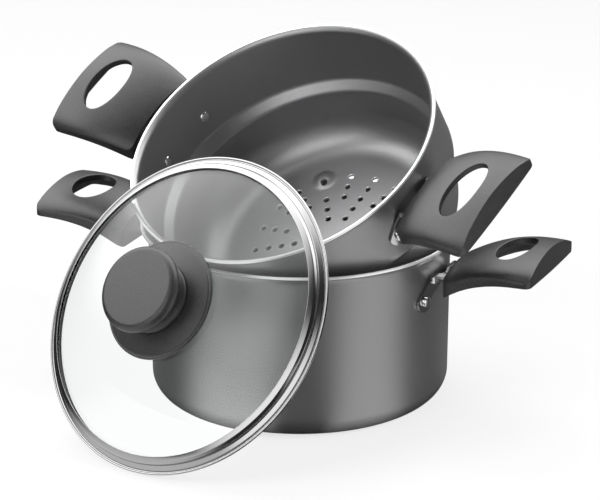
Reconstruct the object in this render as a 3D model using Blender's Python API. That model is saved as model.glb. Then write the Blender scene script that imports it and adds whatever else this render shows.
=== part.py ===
"""Couscous steamer set: a two-handled pot, a perforated steamer insert leaning in its mouth, and
a glass lid standing on its rim in front of them.

Run with: blender --background --python part.py
Units are metres, +Z is up.  The origin is the centre of the pot's base, on the surface it stands on.
The pot's right handle points to +X turned by POT_HANDLE_TURN.
"""
import math

import bmesh
import bpy
from mathutils import Matrix, Vector
from mathutils.bvhtree import BVHTree

MM = 0.001
GAP = 0.3 * MM                       # air left between pieces that touch

# Round work
PAN_SEGMENTS = 44
LID_SEGMENTS = 40
KNOB_SEGMENTS = 24
SMALL_SEGMENTS = 8
LID_GLASS_STEPS = 4
CUT_MARGIN = 2.0 * MM                # how far a cutter reaches past what it cuts

# Pot
POT_HEIGHT = 103.7 * MM
POT_OUTER_RADIUS = 90.9 * MM         # straight wall, outside
POT_WALL = 1.2 * MM
POT_FLOOR = 2.4 * MM
POT_CORNER = 14.0 * MM               # outside radius between wall and base
POT_DRAFT = 0.8 * MM                 # the wall is this much narrower at the corner than at the rim
POT_HANDLE_TURN = math.radians(-24.1)

# Rolled-out rim, shared by the pot and the steamer
LIP_OUT = 3.8 * MM                   # how far the lip stands out from the wall
LIP_HEIGHT = 6.7 * MM                # height over which the wall flares
LIP_EDGE = 1.7 * MM                  # thickness of the bare edge
EDGE_BREAK = 0.3 * MM                # bevel of that edge

# Steamer insert, measured down from its rim
STEAMER_OVERLAP = 3.3 * MM           # its upper wall is this much wider than the inside of the pot
STEAMER_WALL = 1.5 * MM
STEAMER_LIP_OUT = 2.5 * MM
STEAMER_DEPTH = 90.0 * MM            # rim to underside
STEAMER_SHOULDER = 43.6 * MM         # rim to the start of the shoulder
SHOULDER_DROP = 7.4 * MM             # height of the cone below it
SHOULDER_ROUND = 2.0 * MM            # rounding at the top of that cone
SHOULDER_EASE = 0.2 * MM             # how far that rounding draws in
SHOULDER_INSIDE = 1.0 * MM           # how much higher the cone ends inside
SEAT_CLEARANCE = 2.4 * MM            # between the steamer's lower wall and the inside of the pot
STEAMER_CORNER = 22.1 * MM           # outside radius between lower wall and bottom
STEAMER_OFFSET = Vector((-11.29, -14.23)) * MM    # rim centre from the pot's axis
STEAMER_RISE = 57.35 * MM                 # rim centre above the pot's rim
STEAMER_HEADING = math.radians(-128.5)    # compass direction that its mouth leans to, from +X
STEAMER_LEAN = math.radians(32.48)        # away from upright
STEAMER_SPIN = math.radians(87.3)         # of its handles about its own axis

# Perforations: radial lines of holes, long lines and short lines in turn
HOLE_RADIUS = 1.85 * MM
HOLE_SIDES = 6
HOLE_PITCH = 8.35 * MM               # along a line
HOLE_LINES = 18
HOLE_RING_LAST = 6
HOLE_RING_FIRST = (2, 4)             # on the long lines and on the short ones
HOLE_PATTERN_TURN = math.radians(130.3)
DIMPLE_RADIUS = 7.6 * MM             # small pressed dome on one of the long lines
DIMPLE_HEIGHT = 2.6 * MM
DIMPLE_DISTANCE = 51.0 * MM          # from the axis
DIMPLE_HOLE_DISTANCE = 47.6 * MM

# Side handles, heights from the rim
HANDLE_STANDOFF = 12.5 * MM          # inner face from the pot's wall
HANDLE_LENGTH = 56.9 * MM            # inner face to the lower edge of the end facet
HANDLE_INNER_HALF_WIDTH = 31.0 * MM
HANDLE_OUTER_HALF_WIDTH = 37.8 * MM
HANDLE_SIDE_BULGE = 1.6 * MM
HANDLE_END_BULGE = 0.8 * MM
HANDLE_CORNER = 2.2 * MM
HANDLE_FACET_SLOPE = 0.1             # how far the end facet leans back for each unit of height
HANDLE_CROWN_POWER_INNER = 2.4
HANDLE_CROWN_POWER_OUTER = 3.1
HANDLE_CROWN_PEAK = 9.3 * MM         # top at the end
HANDLE_CROWN_RISE = 11.0 * MM        # from the inner face to the end
HANDLE_CROWN_BEND = 2.2
HANDLE_UNDER_INNER = -22.4 * MM      # underside at the inner face
HANDLE_UNDER_RISE = 16.8 * MM
HANDLE_UNDER_POWER = 2.6
HANDLE_BAND_INNER = 7.5 * MM         # height of the side, at the inner face and at the end
HANDLE_BAND_OUTER = 1.6 * MM
HANDLE_EDGE_DROP = 0.7 * MM
FINGER_STANDOFF = 35.4 * MM          # centre of the finger hole from the inner face
FINGER_HALF_LENGTH = 21.5 * MM
FINGER_HALF_WIDTH = 11.3 * MM
FINGER_POWER = 2.1
FINGER_DEPTH = 5.0 * MM              # thickness of the handle at the hole's edge
FINGER_SCOOP = 0.45                  # how far the hollow round it reaches towards the outline
FINGER_EDGE_DROP = 0.7 * MM

# Handle brackets: a stainless plate with two riveted ears, and three fingers folded out of its top:
# the tab in the middle, which takes the handle's screw, and a lug on each side
BRACKET_PLATE = 1.5 * MM
RIVET_DROP = 29.3 * MM               # rim to rivet centre
RIVET_SPREAD = 19.8 * MM             # rivet centre from the handle's centre line, along the wall
EAR_RADIUS = 6.4 * MM
EAR_NECK = 0.94                      # share of that radius where the arch between the ears starts
BRACKET_TOP = 14.9 * MM              # top edge above the rivets
BRACKET_FALL = 0.95                  # slope of the top edge towards the ears
BRACKET_ARCH = 6.5 * MM              # height of the plate over its middle
BRACKET_END = 1.2 * MM               # least height of the plate, at its ends
TAB_HALF_WIDTH = 6.6 * MM
TAB_GRIP = 7.5 * MM                  # length of the tab inside the handle
LUG_NEAR = 9.2 * MM                  # edges of a lug from the handle's centre line
LUG_FAR = 15.0 * MM
LUG_GRIP = 3.6 * MM
RIVET_SHANK = 2.0 * MM
RIVET_HEAD = 3.4 * MM
RIVET_HEAD_HEIGHT = 2.2 * MM
RIVET_TAIL = 1.1                     # width of the inner head against the outer one
RIVET_TAIL_HEIGHT = 0.9 * MM
SCREW_STANDOFF = 4.2 * MM            # handle screw from the inner face
SCREW_SHANK = 1.9 * MM
SCREW_HEAD = 3.0 * MM
SCREW_HEAD_HEIGHT = 2.0 * MM
SCREW_GRIP = 5.0 * MM                # length above the tab
SCREW_COVER = 1.2 * MM               # phenolic between the tab and the screw's head
SCREW_RECESS = 1.1 * MM              # radius of the drive recess
SCREW_RECESS_DEPTH = 0.9 * MM

# Lid, measured along its own axis from the top of its lip
LID_SIDESTEP = 6.807 * MM            # lip's centre from the upright plane of the lean through the pot's axis
LID_STEAMER_GAP = 0.5 * MM           # slid back this far from the steamer
LID_SEARCH_STEPS = 20
LID_HEADING = math.radians(-129.44)
LID_LEAN = math.radians(55.9)
LID_FLOOR_GAP = 0.415 * MM
LID_OVERHANG = 0.7 * MM              # of the lip beyond the steamer's rim
LID_LIP = 1.2 * MM                   # thickness of the rolled lip
LID_LIP_EDGE = 0.3 * MM
LID_LIP_WIDTH = 7.5 * MM             # lip's edge to the skirt
LID_SKIRT_DEPTH = 3.2 * MM
LID_SKIRT_WALL = 0.9 * MM
LID_GLASS_INSET = 6.6 * MM           # lip's edge to the glass's edge
LID_BAND = 0.9 * MM                  # sheet over the glass's edge
LID_BAND_PLAY = 0.35 * MM            # between that sheet and the glass
LID_BAND_ROUND = 1.5 * MM            # height of the turn from band to lap
LID_BAND_FOLD = 0.8 * MM             # how far the band folds in over the glass's edge
LID_COVER = 2.8 * MM                 # how far the sheet laps over the glass
LID_COVER_SHEET = 0.8 * MM
LID_COVER_PLAY = 0.4 * MM            # between that lap and the glass
LID_GLASS = 4.0 * MM
LID_DOME = 28.5 * MM                 # top of the glass above the lip
LID_GLASS_EDGE = 3.4 * MM            # top of the glass at its edge
LID_GLASS_BEND = 0.7 * MM            # the glass is this much thinner at its edge

# Knob
KNOB_TOP = 50.5 * MM
KNOB_RADIUS = 25.5 * MM
KNOB_CAP_HEIGHT = 7.2 * MM
KNOB_CAP_ROUND = 3.2 * MM
KNOB_COLLAR = 1.8 * MM               # upright edge of the foot
KNOB_EASE = 2.0 * MM                 # size of the roundings at the waist and under the cap
KNOB_NECK_RADIUS = 17.5 * MM
KNOB_FOOT_RADIUS = 21.5 * MM
KNOB_GUARD_RADIUS = 35.5 * MM
KNOB_GUARD_EDGE = 2.2 * MM
KNOB_GUARD_RISE = 3.4 * MM           # the guard's middle above its edge
KNOB_GUARD_ROUND = 0.6 * MM
KNOB_GUARD_BEAD = 1.8 * MM           # width of the bead round its edge
KNOB_GUARD_STEP = 0.5 * MM           # rise of the disc inside the bead
KNOB_GUARD_FILLET = 3.0 * MM         # slope between the disc and the knob's foot
KNOB_BORE = 2.9 * MM
KNOB_SCREW_RADIUS = 2.4 * MM
KNOB_BORE_PLAY = 0.8 * MM            # between the screw and the glass
KNOB_SCREW_GRIP = 12.0 * MM          # how far the screw runs up into the knob
KNOB_HEAD_RADIUS = 4.6 * MM
KNOB_HEAD_HEIGHT = 2.4 * MM
KNOB_WASHER_RADIUS = 9.0 * MM
KNOB_GASKET_RADIUS = KNOB_WASHER_RADIUS - 1.0 * MM
KNOB_WASHER = 1.4 * MM
KNOB_GASKET = 1.6 * MM

# Worked out from the above
POT_INNER_RADIUS = POT_OUTER_RADIUS - POT_WALL
STEAMER_OUTER_RADIUS = POT_INNER_RADIUS + STEAMER_OVERLAP
STEAMER_INNER_RADIUS = STEAMER_OUTER_RADIUS - STEAMER_WALL
STEAMER_LOWER_RADIUS = POT_INNER_RADIUS - SEAT_CLEARANCE
STEAMER_RIM_RADIUS = STEAMER_OUTER_RADIUS + STEAMER_LIP_OUT
STEAMER_RIM_CENTRE = Vector((*STEAMER_OFFSET, POT_HEIGHT + STEAMER_RISE))
HANDLE_INNER = POT_OUTER_RADIUS + HANDLE_STANDOFF
HANDLE_OUTER = HANDLE_INNER + HANDLE_LENGTH
FINGER_CENTRE = HANDLE_INNER + FINGER_STANDOFF
TAB_HEIGHT = -RIVET_DROP + BRACKET_TOP
TAB_REACH = HANDLE_INNER + TAB_GRIP
LUG_REACH = HANDLE_INNER + LUG_GRIP
SCREW_REACH = HANDLE_INNER + SCREW_STANDOFF
LID_OUTER_RADIUS = STEAMER_RIM_RADIUS + LID_OVERHANG
LID_SKIRT_RADIUS = LID_OUTER_RADIUS - LID_LIP_WIDTH
LID_GLASS_RADIUS = LID_OUTER_RADIUS - LID_GLASS_INSET
LID_REACH_DOWN = (LID_OUTER_RADIUS - LID_LIP_EDGE) * math.sin(LID_LEAN) + LID_LIP * math.cos(LID_LEAN)
LID_GLASS_BORE = KNOB_SCREW_RADIUS + KNOB_BORE_PLAY


def clear_scene():
    """Take every object and loose mesh out of the scene."""
    for old in list(bpy.data.objects):
        bpy.data.objects.remove(old, do_unlink=True)
    for old in list(bpy.data.meshes):
        bpy.data.meshes.remove(old)


def make_material(name, colour, roughness, metallic, alpha=1.0):
    """A plain Principled material."""
    material = bpy.data.materials.new(name)
    material.use_nodes = True
    shader = material.node_tree.nodes["Principled BSDF"]
    shader.inputs["Base Color"].default_value = (*colour, 1.0)
    shader.inputs["Roughness"].default_value = roughness
    shader.inputs["Metallic"].default_value = metallic
    shader.inputs["Alpha"].default_value = alpha
    return material


def make_frame(name, place):
    """An empty that carries the pieces of one assembly."""
    empty = bpy.data.objects.new(name, None)
    bpy.context.scene.collection.objects.link(empty)
    empty.empty_display_size = 0.02
    empty.matrix_world = place
    return empty


def add_object(name, bm, material, parent, place=None):
    """Turn a bmesh into a smooth-shaded object under its frame."""
    bmesh.ops.recalc_face_normals(bm, faces=bm.faces)
    if bm.calc_volume(signed=True) < 0.0:
        bmesh.ops.reverse_faces(bm, faces=bm.faces)
    mesh = bpy.data.meshes.new(name)
    bm.to_mesh(mesh)
    bm.free()
    mesh.materials.append(material)
    mesh.shade_smooth()
    mesh.set_sharp_from_angle(angle=math.radians(35.0))
    piece = bpy.data.objects.new(name, mesh)
    bpy.context.scene.collection.objects.link(piece)
    piece.parent = parent
    if place is not None:
        piece.matrix_local = place
    return piece


def add_cutter(name, bm, parent, place=None):
    """A hidden solid that a Boolean takes away."""
    cutter = add_object(name, bm, CUTTER_MATERIAL, parent, place)
    cutter.hide_render = True
    cutter.display_type = "WIRE"
    return cutter


def add_boolean(piece, other, operation="DIFFERENCE"):
    """Join or cut a piece with another solid."""
    modifier = piece.modifiers.new(operation.title() + " " + other.name, "BOOLEAN")
    modifier.operation = operation
    modifier.solver = "EXACT"
    modifier.object = other
    return modifier


def arc(centre_r, centre_z, radius, start, end, steps):
    """Points of a circular arc in the (radius, height) plane, angles in degrees."""
    points = []
    for i in range(steps + 1):
        angle = math.radians(start + (end - start) * i / steps)
        points.append((centre_r + radius * math.cos(angle), centre_z + radius * math.sin(angle)))
    return points


def flare(wall_r, rim_r, top, height, steps, reach=1.0):
    """Points up a wall that curves out to a lip, from the straight wall to the edge."""
    points = []
    for i in range(steps + 1):
        share = reach * i / steps
        radius = wall_r + (rim_r - wall_r) * (1.0 - math.cos(share * math.pi / 2.0))
        points.append((radius, top - height + height * math.sin(share * math.pi / 2.0)))
    return points


def revolve(profile, segments):
    """Turn a closed (radius, height) profile about Z.  Points on the axis become poles."""
    bm = bmesh.new()
    rings = []
    for radius, height in profile:
        if radius < 1e-7:
            rings.append([bm.verts.new((0.0, 0.0, height))])
            continue
        ring = []
        for i in range(segments):
            angle = 2.0 * math.pi * i / segments
            ring.append(bm.verts.new((radius * math.cos(angle), radius * math.sin(angle), height)))
        rings.append(ring)
    count = len(rings)
    for j in range(count):
        lower = rings[j]
        upper = rings[(j + 1) % count]
        if len(lower) == 1 and len(upper) == 1:
            continue
        for i in range(segments):
            k = (i + 1) % segments
            if len(lower) == 1:
                bm.faces.new((lower[0], upper[k], upper[i]))
            elif len(upper) == 1:
                bm.faces.new((lower[i], lower[k], upper[0]))
            else:
                bm.faces.new((lower[i], lower[k], upper[k], upper[i]))
    return bm


def leaning(centre, heading, lean, spin=0.0):
    """Placement of an axis that leans away from upright towards a compass heading."""
    turn = Matrix.Rotation(heading, 4, "Z") @ Matrix.Rotation(lean, 4, "Y") @ Matrix.Rotation(spin, 4, "Z")
    return Matrix.Translation(centre) @ turn


def placed_tree(profile, segments, place):
    """Search tree over a turned profile in its place."""
    bm = revolve(profile, segments)
    bmesh.ops.transform(bm, matrix=place, verts=bm.verts)
    tree = BVHTree.FromBMesh(bm)
    bm.free()
    return tree


def cylinder(radius, low, high, segments):
    """An upright prism between two heights."""
    return revolve([(0.0, low), (radius, low), (radius, high), (0.0, high)], segments)


def add_box(bm, low, high):
    """Add an axis-aligned box between two corners."""
    for vert in bmesh.ops.create_cube(bm, size=1.0)["verts"]:
        for axis in range(3):
            vert.co[axis] = low[axis] if vert.co[axis] < 0.0 else high[axis]


def pot_profile():
    """The pot's section: outside from the axis up, over the lip and down the inside."""
    low_radius = POT_OUTER_RADIUS - POT_DRAFT
    rim = POT_OUTER_RADIUS + LIP_OUT
    top = POT_HEIGHT
    points = [(0.0, 0.0)]
    points += arc(low_radius - POT_CORNER, POT_CORNER, POT_CORNER, -90.0, 0.0, 5)
    points += flare(POT_OUTER_RADIUS, rim, top - LIP_EDGE, LIP_HEIGHT - LIP_EDGE, 3)
    points += [(rim, top - EDGE_BREAK), (rim - EDGE_BREAK, top)]
    inner = flare(POT_INNER_RADIUS, rim, top, LIP_HEIGHT, 3, 0.82)
    points += list(reversed(inner))
    inner_low = low_radius - POT_WALL
    inner_corner = POT_CORNER - POT_WALL
    points += arc(inner_low - inner_corner, POT_FLOOR + inner_corner, inner_corner, 0.0, -90.0, 4)
    points += [(0.0, POT_FLOOR)]
    return points


def steamer_profile():
    """The steamer's section, down from its rim at height zero, in by the shoulder, and back up."""
    outer = STEAMER_OUTER_RADIUS
    inner = STEAMER_INNER_RADIUS
    lower = STEAMER_LOWER_RADIUS
    wall = STEAMER_WALL
    rim = STEAMER_RIM_RADIUS
    foot = -STEAMER_DEPTH
    shoulder = -STEAMER_SHOULDER
    corner = STEAMER_CORNER
    inner_corner = corner - wall
    points = [(0.0, foot)]
    points += arc(lower - corner, foot + corner, corner, -90.0, 0.0, 4)
    points += [(lower, shoulder - SHOULDER_DROP), (outer - SHOULDER_EASE, shoulder - SHOULDER_ROUND)]
    points += [(outer, shoulder)]
    points += flare(outer, rim, -LIP_EDGE, LIP_HEIGHT - LIP_EDGE, 3)
    points += [(rim, -EDGE_BREAK), (rim - EDGE_BREAK, 0.0)]
    lip = flare(inner, rim, 0.0, LIP_HEIGHT, 3, 0.8)
    points += list(reversed(lip))
    points += [(inner, shoulder), (lower - wall, shoulder - SHOULDER_DROP + SHOULDER_INSIDE)]
    points += arc(lower - corner, foot + corner, inner_corner, 0.0, -90.0, 4)
    points += [(0.0, foot + wall)]
    return points


def hole_places():
    """Every perforation as (distance from the axis, angle), lines of five and of three in turn."""
    places = []
    for line in range(HOLE_LINES):
        first = HOLE_RING_FIRST[line % 2]
        angle = HOLE_PATTERN_TURN + 2.0 * math.pi * line / HOLE_LINES
        for ring in range(first, HOLE_RING_LAST + 1):
            distance = HOLE_PITCH * ring
            on_dimple = line == 0 and abs(distance - DIMPLE_DISTANCE) < DIMPLE_RADIUS + HOLE_RADIUS
            if not on_dimple:
                places.append((distance, angle))
    places.append((DIMPLE_HOLE_DISTANCE, HOLE_PATTERN_TURN))
    return places


def perforation_cutter():
    """One prism for each hole, long enough to pass through bottom and dimple."""
    bm = bmesh.new()
    low = -STEAMER_DEPTH - CUT_MARGIN
    high = -STEAMER_DEPTH + STEAMER_WALL + DIMPLE_HEIGHT + CUT_MARGIN
    for distance, angle in hole_places():
        centre = Vector((distance * math.cos(angle), distance * math.sin(angle), 0.0))
        lower = []
        upper = []
        for i in range(HOLE_SIDES):
            turn = angle + 2.0 * math.pi * (i + 0.5) / HOLE_SIDES
            rim = centre + Vector((HOLE_RADIUS * math.cos(turn), HOLE_RADIUS * math.sin(turn), 0.0))
            lower.append(bm.verts.new((rim.x, rim.y, low)))
            upper.append(bm.verts.new((rim.x, rim.y, high)))
        bm.faces.new(list(reversed(lower)))
        bm.faces.new(upper)
        for i in range(HOLE_SIDES):
            k = (i + 1) % HOLE_SIDES
            bm.faces.new((lower[i], lower[k], upper[k], upper[i]))
    return bm


def dome(radius, height, base, bury):
    """A low dome on a short drum that reaches down by bury."""
    profile = [(0.0, base - bury), (radius, base - bury), (radius, base)]
    for i in range(1, 4):
        share = i / 4.0
        profile.append((radius * (1.0 - share), base + height * math.sin(share * math.pi / 2.0)))
    profile.append((0.0, base + height))
    return revolve(profile, SMALL_SEGMENTS)


def handle_half_width(x):
    """Half of the handle's width at a distance from the pan's axis."""
    share = (x - HANDLE_INNER) / (HANDLE_OUTER - HANDLE_INNER)
    straight = HANDLE_INNER_HALF_WIDTH + (HANDLE_OUTER_HALF_WIDTH - HANDLE_INNER_HALF_WIDTH) * share
    return straight + HANDLE_SIDE_BULGE * (1.0 - (2.0 * share - 1.0) ** 2)


def handle_share(x):
    """Where x lies between the inner face and the end, 0 to 1."""
    return min(1.0, max(0.0, (x - HANDLE_INNER) / (HANDLE_OUTER - HANDLE_INNER)))


def handle_underside(x):
    """Height of the underside: it hooks down to the pan and is level at the end."""
    rise = 1.0 - (1.0 - handle_share(x)) ** HANDLE_UNDER_POWER
    return HANDLE_UNDER_INNER + HANDLE_UNDER_RISE * rise


def handle_crown(x):
    """Height of the top along the centre line."""
    return HANDLE_CROWN_PEAK - HANDLE_CROWN_RISE * (1.0 - handle_share(x)) ** HANDLE_CROWN_BEND


def handle_top(x, y):
    """Height of the crowned top surface."""
    share = handle_share(x)
    edge = handle_underside(x) + HANDLE_BAND_INNER + (HANDLE_BAND_OUTER - HANDLE_BAND_INNER) * share
    power = HANDLE_CROWN_POWER_INNER + (HANDLE_CROWN_POWER_OUTER - HANDLE_CROWN_POWER_INNER) * share
    across = min(1.0, abs(y) / handle_half_width(x))
    return edge + (handle_crown(x) - edge) * (1.0 - across ** power)


def handle_bottom(spot, share):
    """Height of the lower skin, scooped out round the finger hole; share runs from hole to outline."""
    ease = min(1.0, share / FINGER_SCOOP)
    ease = ease * ease * (3.0 - 2.0 * ease)
    low = handle_underside(spot.x)
    pocket = max(0.0, handle_top(spot.x, spot.y) - FINGER_DEPTH - low)
    return low + pocket * (1.0 - ease)


def chamfer_corner(before, corner, after, reach):
    """Two points that replace a corner."""
    return [corner + (before - corner).normalized() * reach, corner + (after - corner).normalized() * reach]


def handle_outline():
    """The handle's outline in plan, counter-clockwise from its inner right corner."""
    inner = Vector((HANDLE_INNER, -handle_half_width(HANDLE_INNER)))
    outer = Vector((HANDLE_OUTER, -HANDLE_OUTER_HALF_WIDTH))
    side = []
    for i in range(1, 4):
        x = HANDLE_INNER + HANDLE_LENGTH * i / 4.0
        side.append(Vector((x, -handle_half_width(x))))
    end = []
    for i in range(1, 8):
        across = -math.cos(math.pi * i / 8.0)
        bulge = HANDLE_END_BULGE * (1.0 - across ** 2)
        end.append(Vector((HANDLE_OUTER + bulge, HANDLE_OUTER_HALF_WIDTH * across)))
    face = [Vector((HANDLE_INNER, 0.5 * HANDLE_INNER_HALF_WIDTH * way)) for way in (1.0, 0.0, -1.0)]

    def mirrored(points):
        return [Vector((p.x, -p.y)) for p in reversed(points)]

    inner_edge = chamfer_corner(face[-1], inner, side[0], HANDLE_CORNER)
    outer_edge = chamfer_corner(side[-1], outer, end[0], HANDLE_CORNER)
    right = inner_edge + side + outer_edge
    return right + end + mirrored(right) + face


def finger_point(angle):
    """A point of the finger hole's outline in the direction of an angle from its centre."""
    c = abs(math.cos(angle)) / FINGER_HALF_WIDTH
    s = abs(math.sin(angle)) / FINGER_HALF_LENGTH
    reach = (c ** FINGER_POWER + s ** FINGER_POWER) ** (-1.0 / FINGER_POWER)
    return Vector((FINGER_CENTRE + reach * math.cos(angle), reach * math.sin(angle)))


def handle_mesh():
    """The moulded handle: crowned top, flat-cut end, arched underside and an oval finger hole."""
    bm = bmesh.new()
    outline = handle_outline()
    centre = Vector((FINGER_CENTRE, 0.0))
    top_rows = ((0.0, -FINGER_EDGE_DROP), (0.06, 0.0), (0.4, 0.0), (0.75, 0.0), (0.965, 0.0),
                (1.0, -HANDLE_EDGE_DROP))
    low_rows = ((1.0, 0.5 * HANDLE_EDGE_DROP), (0.93, 0.0), (FINGER_SCOOP, 0.0), (0.0, 0.0))
    facet_foot = handle_underside(HANDLE_OUTER)
    columns = []
    for place in outline:
        way = place - centre
        inner = finger_point(math.atan2(way.y, way.x))
        column = []
        for share, lift in top_rows:
            spot = inner.lerp(place, share)
            height = handle_top(spot.x, spot.y) + lift
            facet = HANDLE_OUTER + HANDLE_END_BULGE - HANDLE_FACET_SLOPE * (height - facet_foot)
            column.append(bm.verts.new((min(spot.x, facet), spot.y, height)))
        for share, lift in low_rows:
            spot = inner.lerp(place, share)
            column.append(bm.verts.new((spot.x, spot.y, handle_bottom(spot, share) + lift)))
        columns.append(column)
    rows = len(columns[0])
    for i, column in enumerate(columns):
        other = columns[(i + 1) % len(columns)]
        for j in range(rows):
            k = (j + 1) % rows
            bm.faces.new((column[j], column[k], other[k], other[j]))
    return bm


def bracket_low(y):
    """Lower edge of the bracket's plate at a distance along the wall."""
    from_ear = abs(y) - RIVET_SPREAD
    if from_ear > -EAR_RADIUS * EAR_NECK:
        return -math.sqrt(max(0.0, EAR_RADIUS ** 2 - from_ear ** 2))
    arch = RIVET_SPREAD - EAR_RADIUS * EAR_NECK
    return (BRACKET_TOP - BRACKET_ARCH) * min(1.0, 1.6 * (1.0 - abs(y) / arch))


def bracket_high(y):
    """Upper edge of the bracket's plate: level over the fingers, then falling to the ears."""
    slope = BRACKET_TOP - BRACKET_FALL * max(0.0, abs(y) - LUG_FAR)
    past_ear = max(0.0, (abs(y) - RIVET_SPREAD) / EAR_RADIUS)
    return slope * (1.0 - min(1.0, past_ear) ** 4) ** 0.25


def bracket_mesh(wall_radius):
    """The bracket's plate, bent to the wall."""
    bm = bmesh.new()
    reach = RIVET_SPREAD + EAR_RADIUS
    ear = (EAR_NECK, 0.5, 0.0, -0.5, -0.87)
    right = [0.0, LUG_NEAR] + [RIVET_SPREAD - EAR_RADIUS * share for share in ear] + [reach * 0.999]
    stations = [-y for y in reversed(right[1:])] + right
    inner = wall_radius + GAP
    outer = inner + BRACKET_PLATE
    columns = []
    for y in stations:
        low = bracket_low(y)
        high = max(bracket_high(y), low + BRACKET_END)
        angle = y / wall_radius
        column = []
        for radius, height in ((inner, low), (inner, high), (outer, high), (outer, low)):
            place = (radius * math.cos(angle), radius * math.sin(angle), height - RIVET_DROP)
            column.append(bm.verts.new(place))
        columns.append(column)
    for i in range(len(columns) - 1):
        for j in range(4):
            k = (j + 1) % 4
            bm.faces.new((columns[i][j], columns[i + 1][j], columns[i + 1][k], columns[i][k]))
    bm.faces.new(columns[0])
    bm.faces.new(list(reversed(columns[-1])))
    return bm


def finger_boxes(wall_radius, grow):
    """The bracket's tab and two lugs, or with a clearance the slots that take them."""
    bm = bmesh.new()
    middle = wall_radius + GAP + 0.5 * BRACKET_PLATE
    lug_start = middle * math.cos(0.5 * (LUG_NEAR + LUG_FAR) / wall_radius)
    fingers = (
        (middle, -TAB_HALF_WIDTH, TAB_HALF_WIDTH, TAB_REACH),
        (lug_start, -LUG_FAR, -LUG_NEAR, LUG_REACH),
        (lug_start, LUG_NEAR, LUG_FAR, LUG_REACH),
    )
    for start, right, left, reach in fingers:
        low = Vector((start - grow, right - grow, TAB_HEIGHT - BRACKET_PLATE - grow))
        high = Vector((reach + grow, left + grow, TAB_HEIGHT + grow))
        add_box(bm, low, high)
    return bm


def rivet_mesh(wall_radius, wall):
    """A rivet along X: domed head outside the bracket, shank, flat head inside the pan."""
    outside = wall_radius + GAP + BRACKET_PLATE + GAP
    inside = (wall_radius - wall) * math.cos(math.pi / PAN_SEGMENTS) - GAP
    shank = RIVET_SHANK
    head = RIVET_HEAD
    tail = RIVET_TAIL * RIVET_HEAD
    profile = [(0.0, inside - RIVET_TAIL_HEIGHT), (0.8 * tail, inside - 0.8 * RIVET_TAIL_HEIGHT)]
    profile += [(tail, inside), (shank, inside), (shank, outside), (head, outside)]
    profile += [(head, outside + 0.55 * RIVET_HEAD_HEIGHT), (0.75 * head, outside + 0.92 * RIVET_HEAD_HEIGHT)]
    profile += [(0.0, outside + RIVET_HEAD_HEIGHT)]
    bm = revolve(profile, SMALL_SEGMENTS)
    bmesh.ops.rotate(bm, verts=bm.verts, cent=(0.0, 0.0, 0.0), matrix=Matrix.Rotation(math.pi / 2.0, 3, "Y"))
    return bm


def handle_screw_mesh():
    """The screw that holds the handle on its tab, from below."""
    head_top = TAB_HEIGHT - BRACKET_PLATE - SCREW_COVER - GAP
    head_low = head_top - SCREW_HEAD_HEIGHT
    recess = head_low + SCREW_RECESS_DEPTH
    end = TAB_HEIGHT + SCREW_GRIP
    profile = [(0.0, recess), (SCREW_RECESS, recess), (SCREW_RECESS, head_low), (0.8 * SCREW_HEAD, head_low)]
    profile += [(SCREW_HEAD, head_low + 0.3 * SCREW_HEAD_HEIGHT), (SCREW_HEAD, head_top)]
    profile += [(SCREW_SHANK, head_top), (SCREW_SHANK, end), (0.0, end)]
    return revolve(profile, SMALL_SEGMENTS)


def handle_screw_bores():
    """The room for that screw: counterbore from the underside, then a bore past the tab."""
    head_top = TAB_HEIGHT - BRACKET_PLATE - SCREW_COVER
    below = 2.0 * HANDLE_UNDER_INNER
    end = TAB_HEIGHT + SCREW_GRIP + GAP
    wide = SCREW_HEAD + GAP
    narrow = SCREW_SHANK + GAP
    profile = [(0.0, below), (wide, below), (wide, head_top), (narrow, head_top), (narrow, end), (0.0, end)]
    return revolve(profile, SMALL_SEGMENTS)


def add_handles(prefix, frame, body, wall_radius, wall, turn, materials):
    """Both handles of a pan with their brackets, rivets and screws, and the rivet holes in the pan."""
    for side, extra in (("right", 0.0), ("left", math.pi)):
        spin = Matrix.Rotation(turn + extra, 4, "Z")
        plate = bracket_mesh(wall_radius)
        bracket = add_object(f"{prefix}_bracket_{side}", plate, materials["steel"], frame, spin)
        fingers = add_cutter(f"cut_{prefix}_fingers_{side}", finger_boxes(wall_radius, 0.0), frame, spin)
        add_boolean(bracket, fingers, "UNION")
        handle = add_object(f"{prefix}_handle_{side}", handle_mesh(), materials["phenolic"], frame, spin)
        slots = add_cutter(f"cut_{prefix}_slots_{side}", finger_boxes(wall_radius, GAP), frame, spin)
        add_boolean(handle, slots)
        screw_place = spin @ Matrix.Translation((SCREW_REACH, 0.0, 0.0))
        bores = add_cutter(f"cut_{prefix}_bores_{side}", handle_screw_bores(), frame, screw_place)
        add_boolean(handle, bores)
        bore_low = TAB_HEIGHT - BRACKET_PLATE - CUT_MARGIN
        bore = cylinder(SCREW_SHANK + GAP, bore_low, TAB_HEIGHT + CUT_MARGIN, SMALL_SEGMENTS)
        through = add_cutter(f"cut_{prefix}_tab_bore_{side}", bore, frame, screw_place)
        add_boolean(bracket, through)
        screw = handle_screw_mesh()
        add_object(f"{prefix}_handle_screw_{side}", screw, materials["steel"], frame, screw_place)
        for label, way in (("front", -1.0), ("rear", 1.0)):
            angle = way * RIVET_SPREAD / wall_radius
            place = spin @ Matrix.Rotation(angle, 4, "Z") @ Matrix.Translation((0.0, 0.0, -RIVET_DROP))
            name = f"{prefix}_rivet_{side}_{label}"
            add_object(name, rivet_mesh(wall_radius, wall), materials["steel"], frame, place)
            bore_start = wall_radius - wall - CUT_MARGIN
            bore_end = wall_radius + BRACKET_PLATE + CUT_MARGIN
            shank_bore = cylinder(RIVET_SHANK + GAP, bore_start, bore_end, SMALL_SEGMENTS)
            turn_out = place @ Matrix.Rotation(math.pi / 2.0, 4, "Y")
            drill = add_cutter(f"cut_{name}", shank_bore, frame, turn_out)
            add_boolean(body, drill)
            add_boolean(bracket, drill)


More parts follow.
